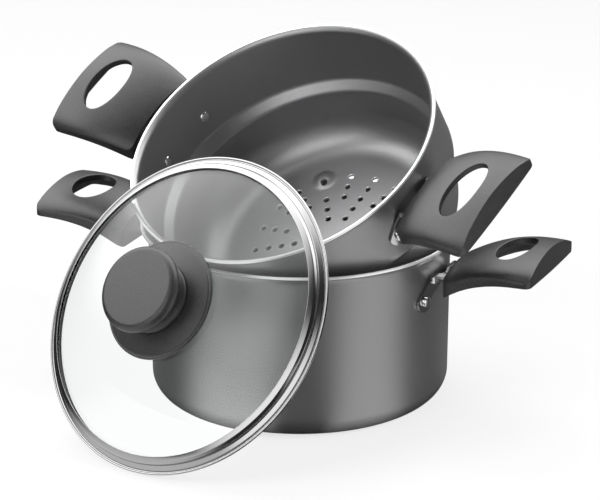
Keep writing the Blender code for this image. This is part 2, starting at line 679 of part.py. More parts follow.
def glass_height(radius, apex, edge):
    """Height of a spherical skin that is apex high on the axis and edge high at the glass's edge."""
    rise = apex - edge
    ball = (LID_GLASS_RADIUS ** 2 + rise ** 2) / (2.0 * rise)
    return apex - ball + math.sqrt(ball ** 2 - radius ** 2)


def lid_glass_profile():
    """The glass dome's section, with a bore for the knob's screw."""
    low_edge = LID_GLASS_EDGE - LID_GLASS + LID_GLASS_BEND
    outer = []
    inner = []
    for i in range(LID_GLASS_STEPS + 1):
        radius = LID_GLASS_BORE + (LID_GLASS_RADIUS - LID_GLASS_BORE) * i / LID_GLASS_STEPS
        outer.append((radius, glass_height(radius, LID_DOME, LID_GLASS_EDGE)))
        inner.append((radius, glass_height(radius, LID_DOME - LID_GLASS, low_edge)))
    return inner + list(reversed(outer))


def lid_rim_profile():
    """The stainless rim: rolled lip, upright band over the glass's edge, ledge under it and skirt."""
    edge = LID_GLASS_RADIUS + LID_BAND_PLAY
    band = edge + LID_BAND
    ledge = -LID_BAND_PLAY
    cover_inner = LID_GLASS_RADIUS - LID_COVER
    cover = glass_height(cover_inner, LID_DOME, LID_GLASS_EDGE) + LID_COVER_PLAY
    skirt_inner = LID_SKIRT_RADIUS - LID_SKIRT_WALL
    lip = LID_OUTER_RADIUS
    lip_flat = lip - LID_LIP_EDGE
    return [
        (skirt_inner, -LID_SKIRT_DEPTH), (LID_SKIRT_RADIUS, -LID_SKIRT_DEPTH),
        (LID_SKIRT_RADIUS, -LID_LIP), (lip_flat, -LID_LIP), (lip, -0.5 * LID_LIP), (lip_flat, 0.0),
        (band, LID_LIP_EDGE), (band, LID_GLASS_EDGE),
        (edge, LID_GLASS_EDGE + LID_BAND_ROUND), (cover_inner, cover + LID_COVER_SHEET), (cover_inner, cover),
        (edge - LID_BAND_FOLD, LID_GLASS_EDGE + 0.5 * LID_BAND_ROUND), (edge, LID_GLASS_EDGE), (edge, ledge),
        (skirt_inner, ledge),
    ]


def knob_seat(radius):
    """Height of the glass's outside below the knob's guard."""
    return glass_height(radius, LID_DOME, LID_GLASS_EDGE) + GAP


def knob_guard_top():
    """Height of the guard's middle, where the knob's foot stands."""
    return knob_seat(KNOB_GUARD_RADIUS) + KNOB_GUARD_EDGE + KNOB_GUARD_RISE


def knob_guard_profile():
    """The wide guard under the knob, following the glass below."""
    rim = KNOB_GUARD_RADIUS
    low = knob_seat(rim)
    top = low + KNOB_GUARD_EDGE
    middle = knob_guard_top()
    profile = [(KNOB_BORE, knob_seat(KNOB_BORE)), (0.5 * rim, knob_seat(0.5 * rim))]
    profile += [(rim - KNOB_GUARD_ROUND, low), (rim, low + KNOB_GUARD_ROUND), (rim, top - KNOB_GUARD_ROUND)]
    profile += [(rim - KNOB_GUARD_ROUND, top), (rim - KNOB_GUARD_BEAD, top)]
    fillet = (KNOB_FOOT_RADIUS + KNOB_GUARD_FILLET, middle - 0.3 * KNOB_GUARD_FILLET)
    profile += [(rim - KNOB_GUARD_BEAD, top + KNOB_GUARD_STEP), fillet]
    profile += [(KNOB_FOOT_RADIUS, middle), (KNOB_BORE, middle)]
    return profile


def knob_grip_profile():
    """The knob: foot, waist and a thick cap with a flat face and a round edge."""
    foot = knob_guard_top() + GAP
    cap_low = KNOB_TOP - KNOB_CAP_HEIGHT
    bore_end = foot + KNOB_SCREW_GRIP + GAP
    round_in = KNOB_RADIUS - KNOB_CAP_ROUND
    collar = foot + KNOB_COLLAR
    profile = [(KNOB_BORE, foot), (KNOB_FOOT_RADIUS, foot), (KNOB_FOOT_RADIUS, collar)]
    profile += [(KNOB_FOOT_RADIUS - 0.4 * KNOB_EASE, collar + 0.4 * KNOB_EASE)]
    profile += [(KNOB_NECK_RADIUS, collar + 1.3 * KNOB_EASE)]
    profile += [(KNOB_NECK_RADIUS + 0.25 * KNOB_EASE, cap_low - 0.75 * KNOB_EASE)]
    profile += [(KNOB_RADIUS - 1.1 * KNOB_EASE, cap_low), (KNOB_RADIUS, cap_low + KNOB_EASE)]
    profile += arc(round_in, KNOB_TOP - KNOB_CAP_ROUND, KNOB_CAP_ROUND, 0.0, 90.0, 3)
    profile += [(0.0, KNOB_TOP), (0.0, bore_end), (KNOB_BORE, bore_end)]
    return profile


def knob_stack():
    """Heights, downwards under the glass: top of gasket, top of washer and underside of washer."""
    gasket_top = LID_DOME - LID_GLASS - 2.0 * GAP
    washer_top = gasket_top - KNOB_GASKET - GAP
    return gasket_top, washer_top, washer_top - KNOB_WASHER


def knob_ring(radius, top, thickness):
    """A flat ring around the knob's screw."""
    hole = KNOB_SCREW_RADIUS + GAP
    low = top - thickness
    return revolve([(hole, low), (radius, low), (radius, top), (hole, top)], KNOB_SEGMENTS // 2)


def knob_screw_profile():
    """Pan-head screw from inside the lid up into the knob."""
    head_top = knob_stack()[2] - GAP
    head_low = head_top - KNOB_HEAD_HEIGHT
    recess = head_low + SCREW_RECESS_DEPTH
    end = knob_guard_top() + KNOB_SCREW_GRIP
    profile = [(0.0, recess), (SCREW_RECESS, recess), (SCREW_RECESS, head_low)]
    profile += [(0.6 * KNOB_HEAD_RADIUS, head_low)]
    profile += [(KNOB_HEAD_RADIUS, head_low + 0.5 * KNOB_HEAD_HEIGHT), (KNOB_HEAD_RADIUS, head_top)]
    profile += [(KNOB_SCREW_RADIUS, head_top), (KNOB_SCREW_RADIUS, end), (0.0, end)]
    return profile


def build_pot(materials):
    """The pot stands upright on its base."""
    frame = make_frame("pot_frame", Matrix.Translation((0.0, 0.0, 0.0)))
    body = add_object("pot_body", revolve(pot_profile(), PAN_SEGMENTS), materials["graphite"], frame)
    rim = make_frame("pot_rim_frame", Matrix.Translation((0.0, 0.0, POT_HEIGHT)))
    straight = POT_HEIGHT - LIP_HEIGHT - POT_CORNER
    wall_radius = POT_OUTER_RADIUS - POT_DRAFT * (RIVET_DROP - LIP_HEIGHT) / straight
    add_handles("pot", rim, body, wall_radius, POT_WALL, POT_HANDLE_TURN, materials)


def steamer_place():
    """The insert's frame at the centre of its rim."""
    return leaning(STEAMER_RIM_CENTRE, STEAMER_HEADING, STEAMER_LEAN, STEAMER_SPIN)


def lid_place():
    """The lid's frame at the centre of its lip, slid along its lean until it just clears the steamer."""
    steamer = placed_tree(steamer_profile(), PAN_SEGMENTS, steamer_place())
    way = Vector((math.cos(LID_HEADING), math.sin(LID_HEADING), 0.0))
    foot = Vector((-way.y, way.x, 0.0)) * LID_SIDESTEP
    foot.z = LID_REACH_DOWN + LID_FLOOR_GAP
    near = 0.8 * LID_OUTER_RADIUS
    far = 2.0 * LID_OUTER_RADIUS
    for _ in range(LID_SEARCH_STEPS):
        middle = 0.5 * (near + far)
        place = leaning(foot + way * middle, LID_HEADING, LID_LEAN)
        rim = placed_tree(lid_rim_profile(), LID_SEGMENTS, place)
        if rim.overlap(steamer):
            near = middle
        else:
            far = middle
    return leaning(foot + way * (far + LID_STEAMER_GAP), LID_HEADING, LID_LEAN)


def build_steamer(materials):
    """The insert, its frame at the centre of its rim."""
    frame = make_frame("steamer_frame", steamer_place())
    body = add_object("steamer_body", revolve(steamer_profile(), PAN_SEGMENTS), materials["graphite"], frame)
    inside = -STEAMER_DEPTH + STEAMER_WALL
    turn = HOLE_PATTERN_TURN
    spot = Vector((DIMPLE_DISTANCE * math.cos(turn), DIMPLE_DISTANCE * math.sin(turn), 0.0))
    raised = add_cutter("cut_dimple_raised", dome(DIMPLE_RADIUS, DIMPLE_HEIGHT, inside, 0.5 * STEAMER_WALL),
                        frame, Matrix.Translation(spot))
    hollow_radius = DIMPLE_RADIUS - STEAMER_WALL
    hollow_mesh = dome(hollow_radius, DIMPLE_HEIGHT, -STEAMER_DEPTH, 0.5 * CUT_MARGIN)
    hollow = add_cutter("cut_dimple_hollow", hollow_mesh, frame, Matrix.Translation(spot))
    holes = add_cutter("cut_perforations", perforation_cutter(), frame)
    add_boolean(body, raised, "UNION")
    add_boolean(body, hollow)
    add_boolean(body, holes)
    add_handles("steamer", frame, body, STEAMER_OUTER_RADIUS, STEAMER_WALL, 0.0, materials)


def build_lid(materials):
    """The lid stands on its rim and leans towards the steamer."""
    frame = make_frame("lid_frame", lid_place())
    gasket_top, washer_top, _ = knob_stack()
    add_object("lid_glass", revolve(lid_glass_profile(), LID_SEGMENTS), materials["glass"], frame)
    add_object("lid_rim", revolve(lid_rim_profile(), LID_SEGMENTS), materials["steel"], frame)
    add_object("knob_guard", revolve(knob_guard_profile(), KNOB_SEGMENTS), materials["phenolic"], frame)
    add_object("knob_grip", revolve(knob_grip_profile(), KNOB_SEGMENTS), materials["phenolic"], frame)
    add_object("knob_gasket", knob_ring(KNOB_GASKET_RADIUS, gasket_top, KNOB_GASKET),
               materials["silicone"], frame)
    washer = knob_ring(KNOB_WASHER_RADIUS, washer_top, KNOB_WASHER)
    add_object("knob_washer", washer, materials["steel"], frame)
    add_object("knob_screw", revolve(knob_screw_profile(), SMALL_SEGMENTS), materials["steel"], frame)


def build():
    """Make the whole set."""
    materials = {
        "graphite": make_material("graphite nonstick on aluminium", (0.11, 0.11, 0.115), 0.42, 0.55),
        "steel": make_material("polished stainless steel", (0.70, 0.70, 0.70), 0.16, 1.0),
        "phenolic": make_material("black phenolic", (0.035, 0.035, 0.037), 0.48, 0.0),
        "glass": make_material("tempered glass", (0.90, 0.93, 0.93), 0.05, 0.0, 0.35),
        "silicone": make_material("grey silicone", (0.25, 0.25, 0.25), 0.6, 0.0),
    }
    build_pot(materials)
    build_steamer(materials)
    build_lid(materials)
    bpy.context.view_layer.update()


clear_scene()
CUTTER_MATERIAL = make_material("cutter", (1.0, 0.2, 0.2), 0.5, 0.0)
build()
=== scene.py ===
"""Couscous steamer set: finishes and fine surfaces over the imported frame.

A pressed aluminium pot with a graphite nonstick coat, a perforated steamer insert that leans in
its mouth, and a tempered glass lid that stands on its rim in front of them.
Lengths are metres; sizes below are written in millimetres and multiplied by MM.
"""

import logging
import math
from dataclasses import dataclass, field
from enum import Enum

import bmesh
import bpy
from mathutils import Matrix, Vector

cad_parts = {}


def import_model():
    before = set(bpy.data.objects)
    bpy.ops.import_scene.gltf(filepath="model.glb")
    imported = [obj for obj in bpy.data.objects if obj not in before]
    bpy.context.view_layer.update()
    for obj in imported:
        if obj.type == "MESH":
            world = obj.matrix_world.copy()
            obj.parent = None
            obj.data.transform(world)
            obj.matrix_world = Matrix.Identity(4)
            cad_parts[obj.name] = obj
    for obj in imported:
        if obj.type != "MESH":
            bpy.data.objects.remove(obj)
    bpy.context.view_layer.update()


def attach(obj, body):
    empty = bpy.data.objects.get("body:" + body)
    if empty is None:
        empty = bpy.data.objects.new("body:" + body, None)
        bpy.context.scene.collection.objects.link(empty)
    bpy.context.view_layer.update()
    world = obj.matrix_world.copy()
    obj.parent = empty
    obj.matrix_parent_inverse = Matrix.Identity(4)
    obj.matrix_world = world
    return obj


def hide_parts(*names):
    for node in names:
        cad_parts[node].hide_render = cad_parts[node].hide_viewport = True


LOG = logging.getLogger("couscous_steamer")
MM = 0.001
GAP = 0.3 * MM
ON_AXIS = 1e-7

MATH = "ShaderNodeMath"
VECTOR_MATH = "ShaderNodeVectorMath"
RANGE = "ShaderNodeMapRange"
MIX = "ShaderNodeMix"
NOISE = "ShaderNodeTexNoise"

Point = tuple[float, float]
Point3 = tuple[float, float, float]
Profile = list[Point]
Tree = bpy.types.NodeTree
Node = bpy.types.Node
Source = bpy.types.NodeSocket | bpy.types.Node
Mesh = bpy.types.Mesh
Material = bpy.types.Material


class Side(Enum):
    """Which handle of a pan, with its turn from the right-hand one."""

    RIGHT = 0.0
    LEFT = math.pi


# Small tools

def linear(hex_colour: str) -> tuple[float, float, float, float]:
    """Turn an sRGB hex colour into linear values.

    Args:
        hex_colour: Six hex digits after a hash.

    Returns:
        Linear red, green, blue and an alpha of one.
    """
    values = []
    for start in (1, 3, 5):
        share = int(hex_colour[start:start + 2], 16) / 255.0
        values.append(share / 12.92 if share <= 0.04045 else ((share + 0.055) / 1.055) ** 2.4)
    return (values[0], values[1], values[2], 1.0)


def add_node(tree: Tree, kind: str, inputs: dict | None = None, **settings: object) -> Node:
    """Add a node, set its properties, and set or link its inputs.

    Args:
        tree: The tree that gets the node.
        kind: The node's type name.
        inputs: Socket names or numbers, each with a value, a socket, or a node for its first output.
        settings: The node's properties.

    Returns:
        The new node.
    """
    node = tree.nodes.new(kind)
    for name, value in settings.items():
        setattr(node, name, value)
    for name, value in (inputs or {}).items():
        source = value.outputs[0] if isinstance(value, bpy.types.Node) else value
        if isinstance(source, bpy.types.NodeSocket):
            tree.links.new(source, node.inputs[name])
        else:
            node.inputs[name].default_value = source
    return node


def mapping(value: Source, span: Point = (0.0, 1.0), levels: Point = (0.0, 1.0)) -> dict:
    """Inputs of a range node that maps a span of values to levels.

    Args:
        value: What is mapped.
        span: The values that reach the first and the last level.
        levels: Those levels.

    Returns:
        The inputs by name.
    """
    return {"Value": value, "From Min": span[0], "From Max": span[1], "To Min": levels[0],
            "To Max": levels[1]}


def new_geometry_tree(name: str, inputs: dict[str, str]) -> tuple[Tree, bpy.types.NodeOutputs]:
    """Start a Geometry Nodes tree with a geometry input and output and named inputs.

    Args:
        name: The tree's name.
        inputs: Input names, each with the end of its socket type's name.

    Returns:
        The tree and what its group input gives.
    """
    tree = bpy.data.node_groups.new(name, "GeometryNodeTree")
    for way in ("INPUT", "OUTPUT"):
        tree.interface.new_socket("Geometry", in_out=way, socket_type="NodeSocketGeometry")
    for label, kind in inputs.items():
        tree.interface.new_socket(label, in_out="INPUT", socket_type=f"NodeSocket{kind}")
    return tree, add_node(tree, "NodeGroupInput").outputs


def run_tree(mesh: Mesh, tree: Tree, values: dict) -> Mesh:
    """Evaluate a Geometry Nodes tree on a mesh once and return the plain mesh.

    Args:
        mesh: The input geometry.
        tree: The tree to run.
        values: Input names with their values.

    Returns:
        The baked mesh.
    """
    seed = new_object("seed", mesh)
    modifier = seed.modifiers.new("shape", "NODES")
    modifier.node_group = tree
    for item in tree.interface.items_tree:
        if item.in_out == "INPUT" and item.name in values:
            modifier[item.identifier] = values[item.name]
    result = bake(seed)
    discard(seed)
    return result


def bake(piece: bpy.types.Object) -> Mesh:
    """Evaluate a piece with its modifiers.

    Args:
        piece: The piece.

    Returns:
        A new plain mesh.
    """
    bpy.context.view_layer.update()
    graph = bpy.context.evaluated_depsgraph_get()
    return bpy.data.meshes.new_from_object(piece.evaluated_get(graph))


def new_object(name: str, data: bpy.types.ID) -> bpy.types.Object:
    """Link a mesh, camera or light into the scene as an object."""
    piece = bpy.data.objects.new(name, data)
    bpy.context.scene.collection.objects.link(piece)
    return piece


def discard(*pieces: bpy.types.Object) -> None:
    """Remove helper objects."""
    for piece in pieces:
        bpy.data.objects.remove(piece, do_unlink=True)


def combined(mesh: Mesh, tool: Mesh, operation: str, **settings: object) -> Mesh:
    """Join two meshes, or cut one with the other.

    Args:
        mesh: The mesh to change.
        tool: The mesh that is added or that cuts.
        operation: The Boolean operation.
        settings: Further settings of the Boolean modifier.

    Returns:
        The resulting mesh.
    """
    piece = new_object("worked", mesh)
    other = new_object("tool", tool)
    change = piece.modifiers.new("change", "BOOLEAN")
    for name, value in {"operation": operation, "solver": "EXACT", "object": other, **settings}.items():
        setattr(change, name, value)
    result = bake(piece)
    discard(piece, other)
    return result


def facing_out(bm: bmesh.types.BMesh, mesh: Mesh) -> Mesh:
    """Point a closed shape's faces out, write it to a mesh and free it.

    Args:
        bm: The shape.
        mesh: The mesh that it is written to.

    Returns:
        That mesh.
    """
    bmesh.ops.recalc_face_normals(bm, faces=bm.faces)
    if bm.calc_volume(signed=True) < 0.0:
        bmesh.ops.reverse_faces(bm, faces=bm.faces)
    bm.to_mesh(mesh)
    bm.free()
    return mesh


def band_between(bm: bmesh.types.BMesh, first: list, second: list) -> None:
    """Close the band between two rings of vertices.

    Args:
        bm: The shape that gets the faces.
        first: One ring.
        second: The other, with as many vertices.
    """
    for j, vert in enumerate(first):
        k = (j + 1) % len(first)
        bm.faces.new((vert, first[k], second[k], second[j]))


def arc(centre: Point, radius: float, start: float, end: float, steps: int) -> Profile:
    """Points of an arc in the (radius, height) plane.

    Args:
        centre: Centre of the arc.
        radius: Its radius.
        start: First angle in degrees.
        end: Last angle in degrees.
        steps: Number of stretches.

    Returns:
        The arc's points.
    """
    points = []
    for i in range(steps + 1):
        angle = math.radians(start + (end - start) * i / steps)
        points.append((centre[0] + radius * math.cos(angle), centre[1] + radius * math.sin(angle)))
    return points


def flare(wall_r: float, rim_r: float, top: float, height: float, steps: int,
          reach: float = 1.0) -> Profile:
    """Points up a wall that curves out to a lip.

    Args:
        wall_r: Radius of the straight wall.
        rim_r: Radius of the lip's edge.
        top: Height of the edge.
        height: Height over which the wall curves.
        steps: Number of stretches.
        reach: Share of the curve that is used.

    Returns:
        The curve's points, upwards.
    """
    points = []
    for i in range(steps + 1):
        turn = reach * i / steps * math.pi / 2.0
        out = (rim_r - wall_r) * (1.0 - math.cos(turn))
        points.append((wall_r + out, top - height + height * math.sin(turn)))
    return points


def bent(start: Vector, corner: Vector, end: Vector, steps: int) -> Profile:
    """Points of the soft curve that a corner pulls on.

    Args:
        start: Where the curve starts.
        corner: The corner, which it doesn't reach.
        end: Where it ends.
        steps: Number of stretches.

    Returns:
        The curve's points.
    """
    points = []
    for k in range(steps + 1):
        t = k / steps
        spot = start * (1 - t) ** 2 + corner * 2 * t * (1 - t) + end * t ** 2
        points.append((spot.x, spot.y))
    return points


def rounded(points: Profile, radius: float, steps: int = 3, sharpest: float = 25.0) -> Profile:
    """Round the corners of a closed outline.

    Args:
        points: The outline's corners.
        radius: How far along each side a round reaches; short sides shorten it.
        steps: Number of stretches in each round.
        sharpest: Corners that turn less than this many degrees stay.

    Returns:
        The outline with its corners rounded.
    """
    shortest = 1e-9
    most = 0.45
    result = []
    for i, here in enumerate(points):
        corner = Vector(here)
        before = Vector(points[i - 1]) - corner
        after = Vector(points[(i + 1) % len(points)]) - corner
        fixed = here[0] < ON_AXIS or before.length < shortest or after.length < shortest
        if fixed or 180.0 - math.degrees(before.angle(after)) < sharpest:
            result.append(here)
            continue
        cut = min(radius, most * before.length, most * after.length)
        result += bent(corner + before.normalized() * cut, corner, corner + after.normalized() * cut, steps)
    return result


def offsets(origin: Point, places: tuple[Point, ...]) -> Profile:
    """Points of a profile, given in millimetres from an origin."""
    return [(origin[0] + out * MM, origin[1] + up * MM) for out, up in places]


def dense(points: Profile, spacing: float) -> Profile:
    """Add points along a profile so that no stretch is longer than spacing.

    Args:
        points: The profile.
        spacing: Longest stretch that is left.

    Returns:
        The denser profile.
    """
    result = []
    for here, there in zip(points, points[1:]):
        steps = max(1, math.ceil(math.dist(here, there) / spacing))
        for i in range(steps):
            share = i / steps
            result.append((here[0] + (there[0] - here[0]) * share, here[1] + (there[1] - here[1]) * share))
    return result + [points[-1]]


def leaning(centre: Point3, heading: float, lean: float, spin: float = 0.0) -> Matrix:
    """Placement of an axis that leans from upright towards a compass heading.

    Args:
        centre: Where the axis starts, in millimetres.
        heading: Direction of the lean, in degrees from +X.
        lean: Degrees from upright.
        spin: Turn about the axis itself, in degrees.

    Returns:
        The placement.
    """
    place = Matrix.Translation(Vector(centre) * MM)
    for degrees, axis in ((heading, "Z"), (lean, "Y"), (spin, "Z")):
        place = place @ Matrix.Rotation(math.radians(degrees), 4, axis)
    return place


# Node trees for what is turned or repeated

def on_circle(tree: Tree, grid: Node, spot: Source, angle: Source) -> Node:
    """Move a grid's points to a spot that is turned about Z.

    Args:
        tree: The tree.
        grid: Its grid.
        spot: The place before the turn.
        angle: The turn.

    Returns:
        The node that gives the moved points.
    """
    turned = add_node(tree, "ShaderNodeVectorRotate", {"Vector": spot, "Angle": angle},
                      rotation_type="Z_AXIS")
    return add_node(tree, "GeometryNodeSetPosition", {"Geometry": grid.outputs["Mesh"], "Position": turned})


def row_and_column(tree: Tree, index: Node, count: Source) -> tuple[Node, Node]:
    """Split a grid point's number into its place in the column and the column's number.

    Args:
        tree: The tree.
        index: The point's number.
        count: How many points a column has.

    Returns:
        The nodes that give both, from 0.
    """
    row = add_node(tree, MATH, {0: index, 1: count}, operation="MODULO")
    share = add_node(tree, MATH, {0: index, 1: count}, operation="DIVIDE")
    return row, add_node(tree, MATH, {0: share}, operation="FLOOR")


def end_with_copies(tree: Tree, points: Node, sample: Source, material: Source,
                    turn: Source | None = None) -> None:
    """End a tree with real, dressed copies of an object at its points.

    Args:
        tree: The tree.
        points: Where the copies go.
        sample: The object.
        material: The copies' material.
        turn: The copies' rotation.
    """
    copied = add_node(tree, "GeometryNodeObjectInfo", {"Object": sample})
    inputs = {"Points": points, "Instance": copied.outputs["Geometry"]}
    if turn is not None:
        inputs["Rotation"] = turn
    copies = add_node(tree, "GeometryNodeInstanceOnPoints", inputs)
    real = add_node(tree, "GeometryNodeRealizeInstances", {"Geometry": copies})
    dressed = add_node(tree, "GeometryNodeSetMaterial", {"Geometry": real, "Material": material})
    add_node(tree, "NodeGroupOutput", {"Geometry": dressed})


def turned_tree() -> Tree:
    """Build the tree that turns an open or closed profile about Z.

    Returns:
        The tree. Its input mesh is the row of profile points, in order.
    """
    tree, given = new_geometry_tree("turned_profile", {"Segments": "Int"})
    profile = given["Geometry"]
    count = add_node(tree, "GeometryNodeAttributeDomainSize", {"Geometry": profile}, component="MESH")
    points = count.outputs["Point Count"]
    across = add_node(tree, MATH, {0: given["Segments"], 1: 1.0}, operation="ADD")
    grid = add_node(tree, "GeometryNodeMeshGrid", {"Vertices X": across, "Vertices Y": points})
    index = add_node(tree, "GeometryNodeInputIndex")
    row, column = row_and_column(tree, index, points)
    stretches = add_node(tree, MATH, {0: points, 1: 1.0}, operation="SUBTRACT")
    face_row = add_node(tree, MATH, {0: index, 1: stretches}, operation="MODULO")
    part = add_node(tree, MATH, {0: column, 1: given["Segments"]}, operation="DIVIDE")
    angle = add_node(tree, MATH, {0: part, 1: 2.0 * math.pi}, operation="MULTIPLY")
    place = add_node(tree, "GeometryNodeInputPosition")
    sample = add_node(tree, "GeometryNodeSampleIndex", {"Geometry": profile, "Value": place, "Index": row},
                      data_type="FLOAT_VECTOR", domain="POINT")
    shaped = on_circle(tree, grid, sample.outputs["Value"], angle)
    rows = add_node(tree, "GeometryNodeStoreNamedAttribute",
                    {"Name": "profile_row", "Geometry": shaped, "Value": face_row},
                    data_type="FLOAT", domain="FACE")
    wrapped = add_node(tree, "GeometryNodeStoreNamedAttribute",
                       {"Name": "UVMap", "Geometry": rows, "Value": grid.outputs["UV Map"]},
                       data_type="FLOAT2", domain="CORNER")
    merged = add_node(tree, "GeometryNodeMergeByDistance", {"Distance": 0.01 * MM, "Geometry": wrapped})
    add_node(tree, "NodeGroupOutput", {"Geometry": merged})
    return tree


def perforation_tree() -> Tree:
    """Build the tree that sets a punch at every hole of the steamer's bottom.

    Returns:
        The tree. Long and short radial lines take turns, and the holes under the pressed dome
        are left out but one, which sits on the dome itself.
    """
    floats = ("Pitch", "Turn", "First long", "First short", "Dome hole", "Under dome")
    tree, given = new_geometry_tree("perforation_punches", {
        "Punch": "Object", "Lines": "Int", "Rings": "Int", "Material": "Material",
        **{label: "Float" for label in floats}})
    rings = given["Rings"]
    grid = add_node(tree, "GeometryNodeMeshGrid", {"Vertices X": given["Lines"], "Vertices Y": rings})
    index = add_node(tree, "GeometryNodeInputIndex")
    ring_zero, line = row_and_column(tree, index, rings)
    ring = add_node(tree, MATH, {0: ring_zero, 1: 1.0}, operation="ADD")
    parity = add_node(tree, MATH, {0: line, 1: 2.0}, operation="MODULO")
    first_line = add_node(tree, MATH, {0: line, 1: 0.5}, operation="LESS_THAN")
    under = add_node(tree, MATH, {0: ring, 1: given["Under dome"]}, operation="GREATER_THAN")
    on_dome = add_node(tree, MATH, {0: first_line, 1: under}, operation="MULTIPLY")
    distance = add_node(tree, MATH, {0: ring, 1: given["Pitch"]}, operation="MULTIPLY")
    shifted = add_node(tree, MIX, {"Factor": on_dome, "A": distance, "B": given["Dome hole"]},
                       data_type="FLOAT")
    step = add_node(tree, MATH, {0: line, 1: given["Lines"]}, operation="DIVIDE")
    around = add_node(tree, MATH, {0: step, 1: 2.0 * math.pi, 2: given["Turn"]}, operation="MULTIPLY_ADD")
    out = add_node(tree, "ShaderNodeCombineXYZ", {"X": shifted})
    placed = on_circle(tree, grid, out, around)
    first = add_node(tree, MIX, {"Factor": parity, "A": given["First long"], "B": given["First short"]},
                     data_type="FLOAT")
    early = add_node(tree, MATH, {0: ring, 1: first}, operation="LESS_THAN")
    last_ring = add_node(tree, MATH, {0: ring, 1: rings}, operation="LESS_THAN")
    dropped = add_node(tree, MATH, {0: on_dome, 1: last_ring}, operation="MULTIPLY")
    unwanted = add_node(tree, MATH, {0: early, 1: dropped}, operation="MAXIMUM")
    kept = add_node(tree, "GeometryNodeDeleteGeometry", {"Geometry": placed, "Selection": unwanted},
                    domain="POINT")
    end_with_copies(tree, kept, given["Punch"], given["Material"])
    return tree


def fastener_tree() -> Tree:
    """Build the tree that sets the same fastener at both handles of a pan.

    Returns:
        The tree. Each handle gets one fastener or a pair spread evenly about its centre line.
    """
    floats = ("Radius", "Height", "Spread", "Turn")
    tree, given = new_geometry_tree("handle_fasteners", {
        "Fastener": "Object", "At each handle": "Int", "Material": "Material",
        **{label: "Float" for label in floats}})
    each = given["At each handle"]
    grid = add_node(tree, "GeometryNodeMeshGrid", {"Vertices X": len(Side), "Vertices Y": each})
    index = add_node(tree, "GeometryNodeInputIndex")
    which, side = row_and_column(tree, index, each)
    centred = add_node(tree, MATH, {0: which, 1: 2.0, 2: -1.0}, operation="MULTIPLY_ADD")
    spread = add_node(tree, MATH, {0: centred, 1: given["Spread"], 2: given["Turn"]},
                      operation="MULTIPLY_ADD")
    angle = add_node(tree, MATH, {0: side, 1: math.pi, 2: spread}, operation="MULTIPLY_ADD")
    out = add_node(tree, "ShaderNodeCombineXYZ", {"X": given["Radius"], "Z": given["Height"]})
    placed = on_circle(tree, grid, out, angle)
    euler = add_node(tree, "ShaderNodeCombineXYZ", {"Z": angle})
    turned = add_node(tree, "FunctionNodeEulerToRotation", {"Euler": euler})
    end_with_copies(tree, placed, given["Fastener"], given["Material"], turned)
    return tree


# Finishes

@dataclass(frozen=True)
class Finish:
    """A surface finish: what it is made of, how it was made, and the fine grain that varies it.

    The grain is one noise on the piece's own coordinates. It shifts the roughness by rough_shift
    where it runs through rough_span, mixes in the speck where it runs through speck_span, and
    lifts the surface by relief. A finish without speck, shift or relief goes without that step.
    """

    name: str
    colour: str
    roughness: float
    metallic: float = 0.0
    grain: float = 1.0 * MM
    detail: float = 2.0
    grit: float = 0.5
    rough_span: Point = (0.0, 1.0)
    rough_shift: Point | None = None
    speck: str = ""
    speck_span: Point = (0.0, 1.0)
    speck_most: float = 0.0
    relief: float = 0.0
    relief_height: float = 0.2 * MM
    relief_grain: float = 0.0

    def make(self) -> Material:
        """Make the material.

        Returns:
            The material.
        """
        material = bpy.data.materials.new(self.name)
        material.use_nodes = True
        tree = material.node_tree
        shader = tree.nodes["Principled BSDF"]
        self.set_constants(shader.inputs)
        place = add_node(tree, "ShaderNodeTexCoord").outputs["Object"]
        grain = add_node(tree, NOISE, {"Vector": place, "Scale": 1.0 / self.grain, "Detail": self.detail,
                                       "Roughness": self.grit})
        if self.speck:
            share = add_node(tree, RANGE, mapping(grain, self.speck_span, (0.0, self.speck_most)))
            colour = add_node(tree, MIX, {6: linear(self.colour), 7: linear(self.speck), "Factor": share},
                              data_type="RGBA")
            tree.links.new(colour.outputs[2], shader.inputs["Base Color"])
        if self.rough_shift:
            low, high = (self.roughness + shift for shift in self.rough_shift)
            rough = add_node(tree, RANGE, mapping(grain, self.rough_span, (low, high)))
            tree.links.new(rough.outputs[0], shader.inputs["Roughness"])
        if self.relief:
            height = grain
            if self.relief_grain:
                height = add_node(tree, NOISE, {"Vector": place, "Scale": 1.0 / self.relief_grain})
            bump = add_node(tree, "ShaderNodeBump", {"Height": height, "Strength": self.relief,
                                                     "Distance": self.relief_height})
            tree.links.new(bump.outputs[0], shader.inputs["Normal"])
        return material

    def set_constants(self, inputs: bpy.types.NodeInputs) -> None:
        """Set what is the same all over the surface.

        Args:
            inputs: The shader's inputs.
        """
        inputs["Base Color"].default_value = linear(self.colour)
        inputs["Roughness"].default_value = self.roughness
        inputs["Metallic"].default_value = self.metallic


@dataclass(frozen=True)
class GraphiteNonstick(Finish):
    """Sprayed nonstick coat with graphite flake on pressed aluminium.

    The flake gives a soft metallic sheen with a fine sparkle, and the spray a light orange peel.
    Flake and peel are drawn coarser than they are, so that they show.
    """

    metallic: float = 0.86
    grain: float = 0.8 * MM
    detail: float = 3.0
    grit: float = 0.7
    rough_span: Point = (0.3, 0.7)
    rough_shift: Point | None = (-0.05, 0.07)
    speck: str = "#8f8f90"
    speck_span: Point = (0.35, 0.72)
    speck_most: float = 0.5
    relief: float = 0.10
    relief_grain: float = 1.6 * MM


@dataclass(frozen=True)
class TurnedAluminium(Finish):
    """Bare aluminium where the rim was turned and the holes were punched: bright, with faint grooves."""

    metallic: float = 0.75
    grain: float = 0.9 * MM
    rough_shift: Point | None = (-0.06, 0.08)


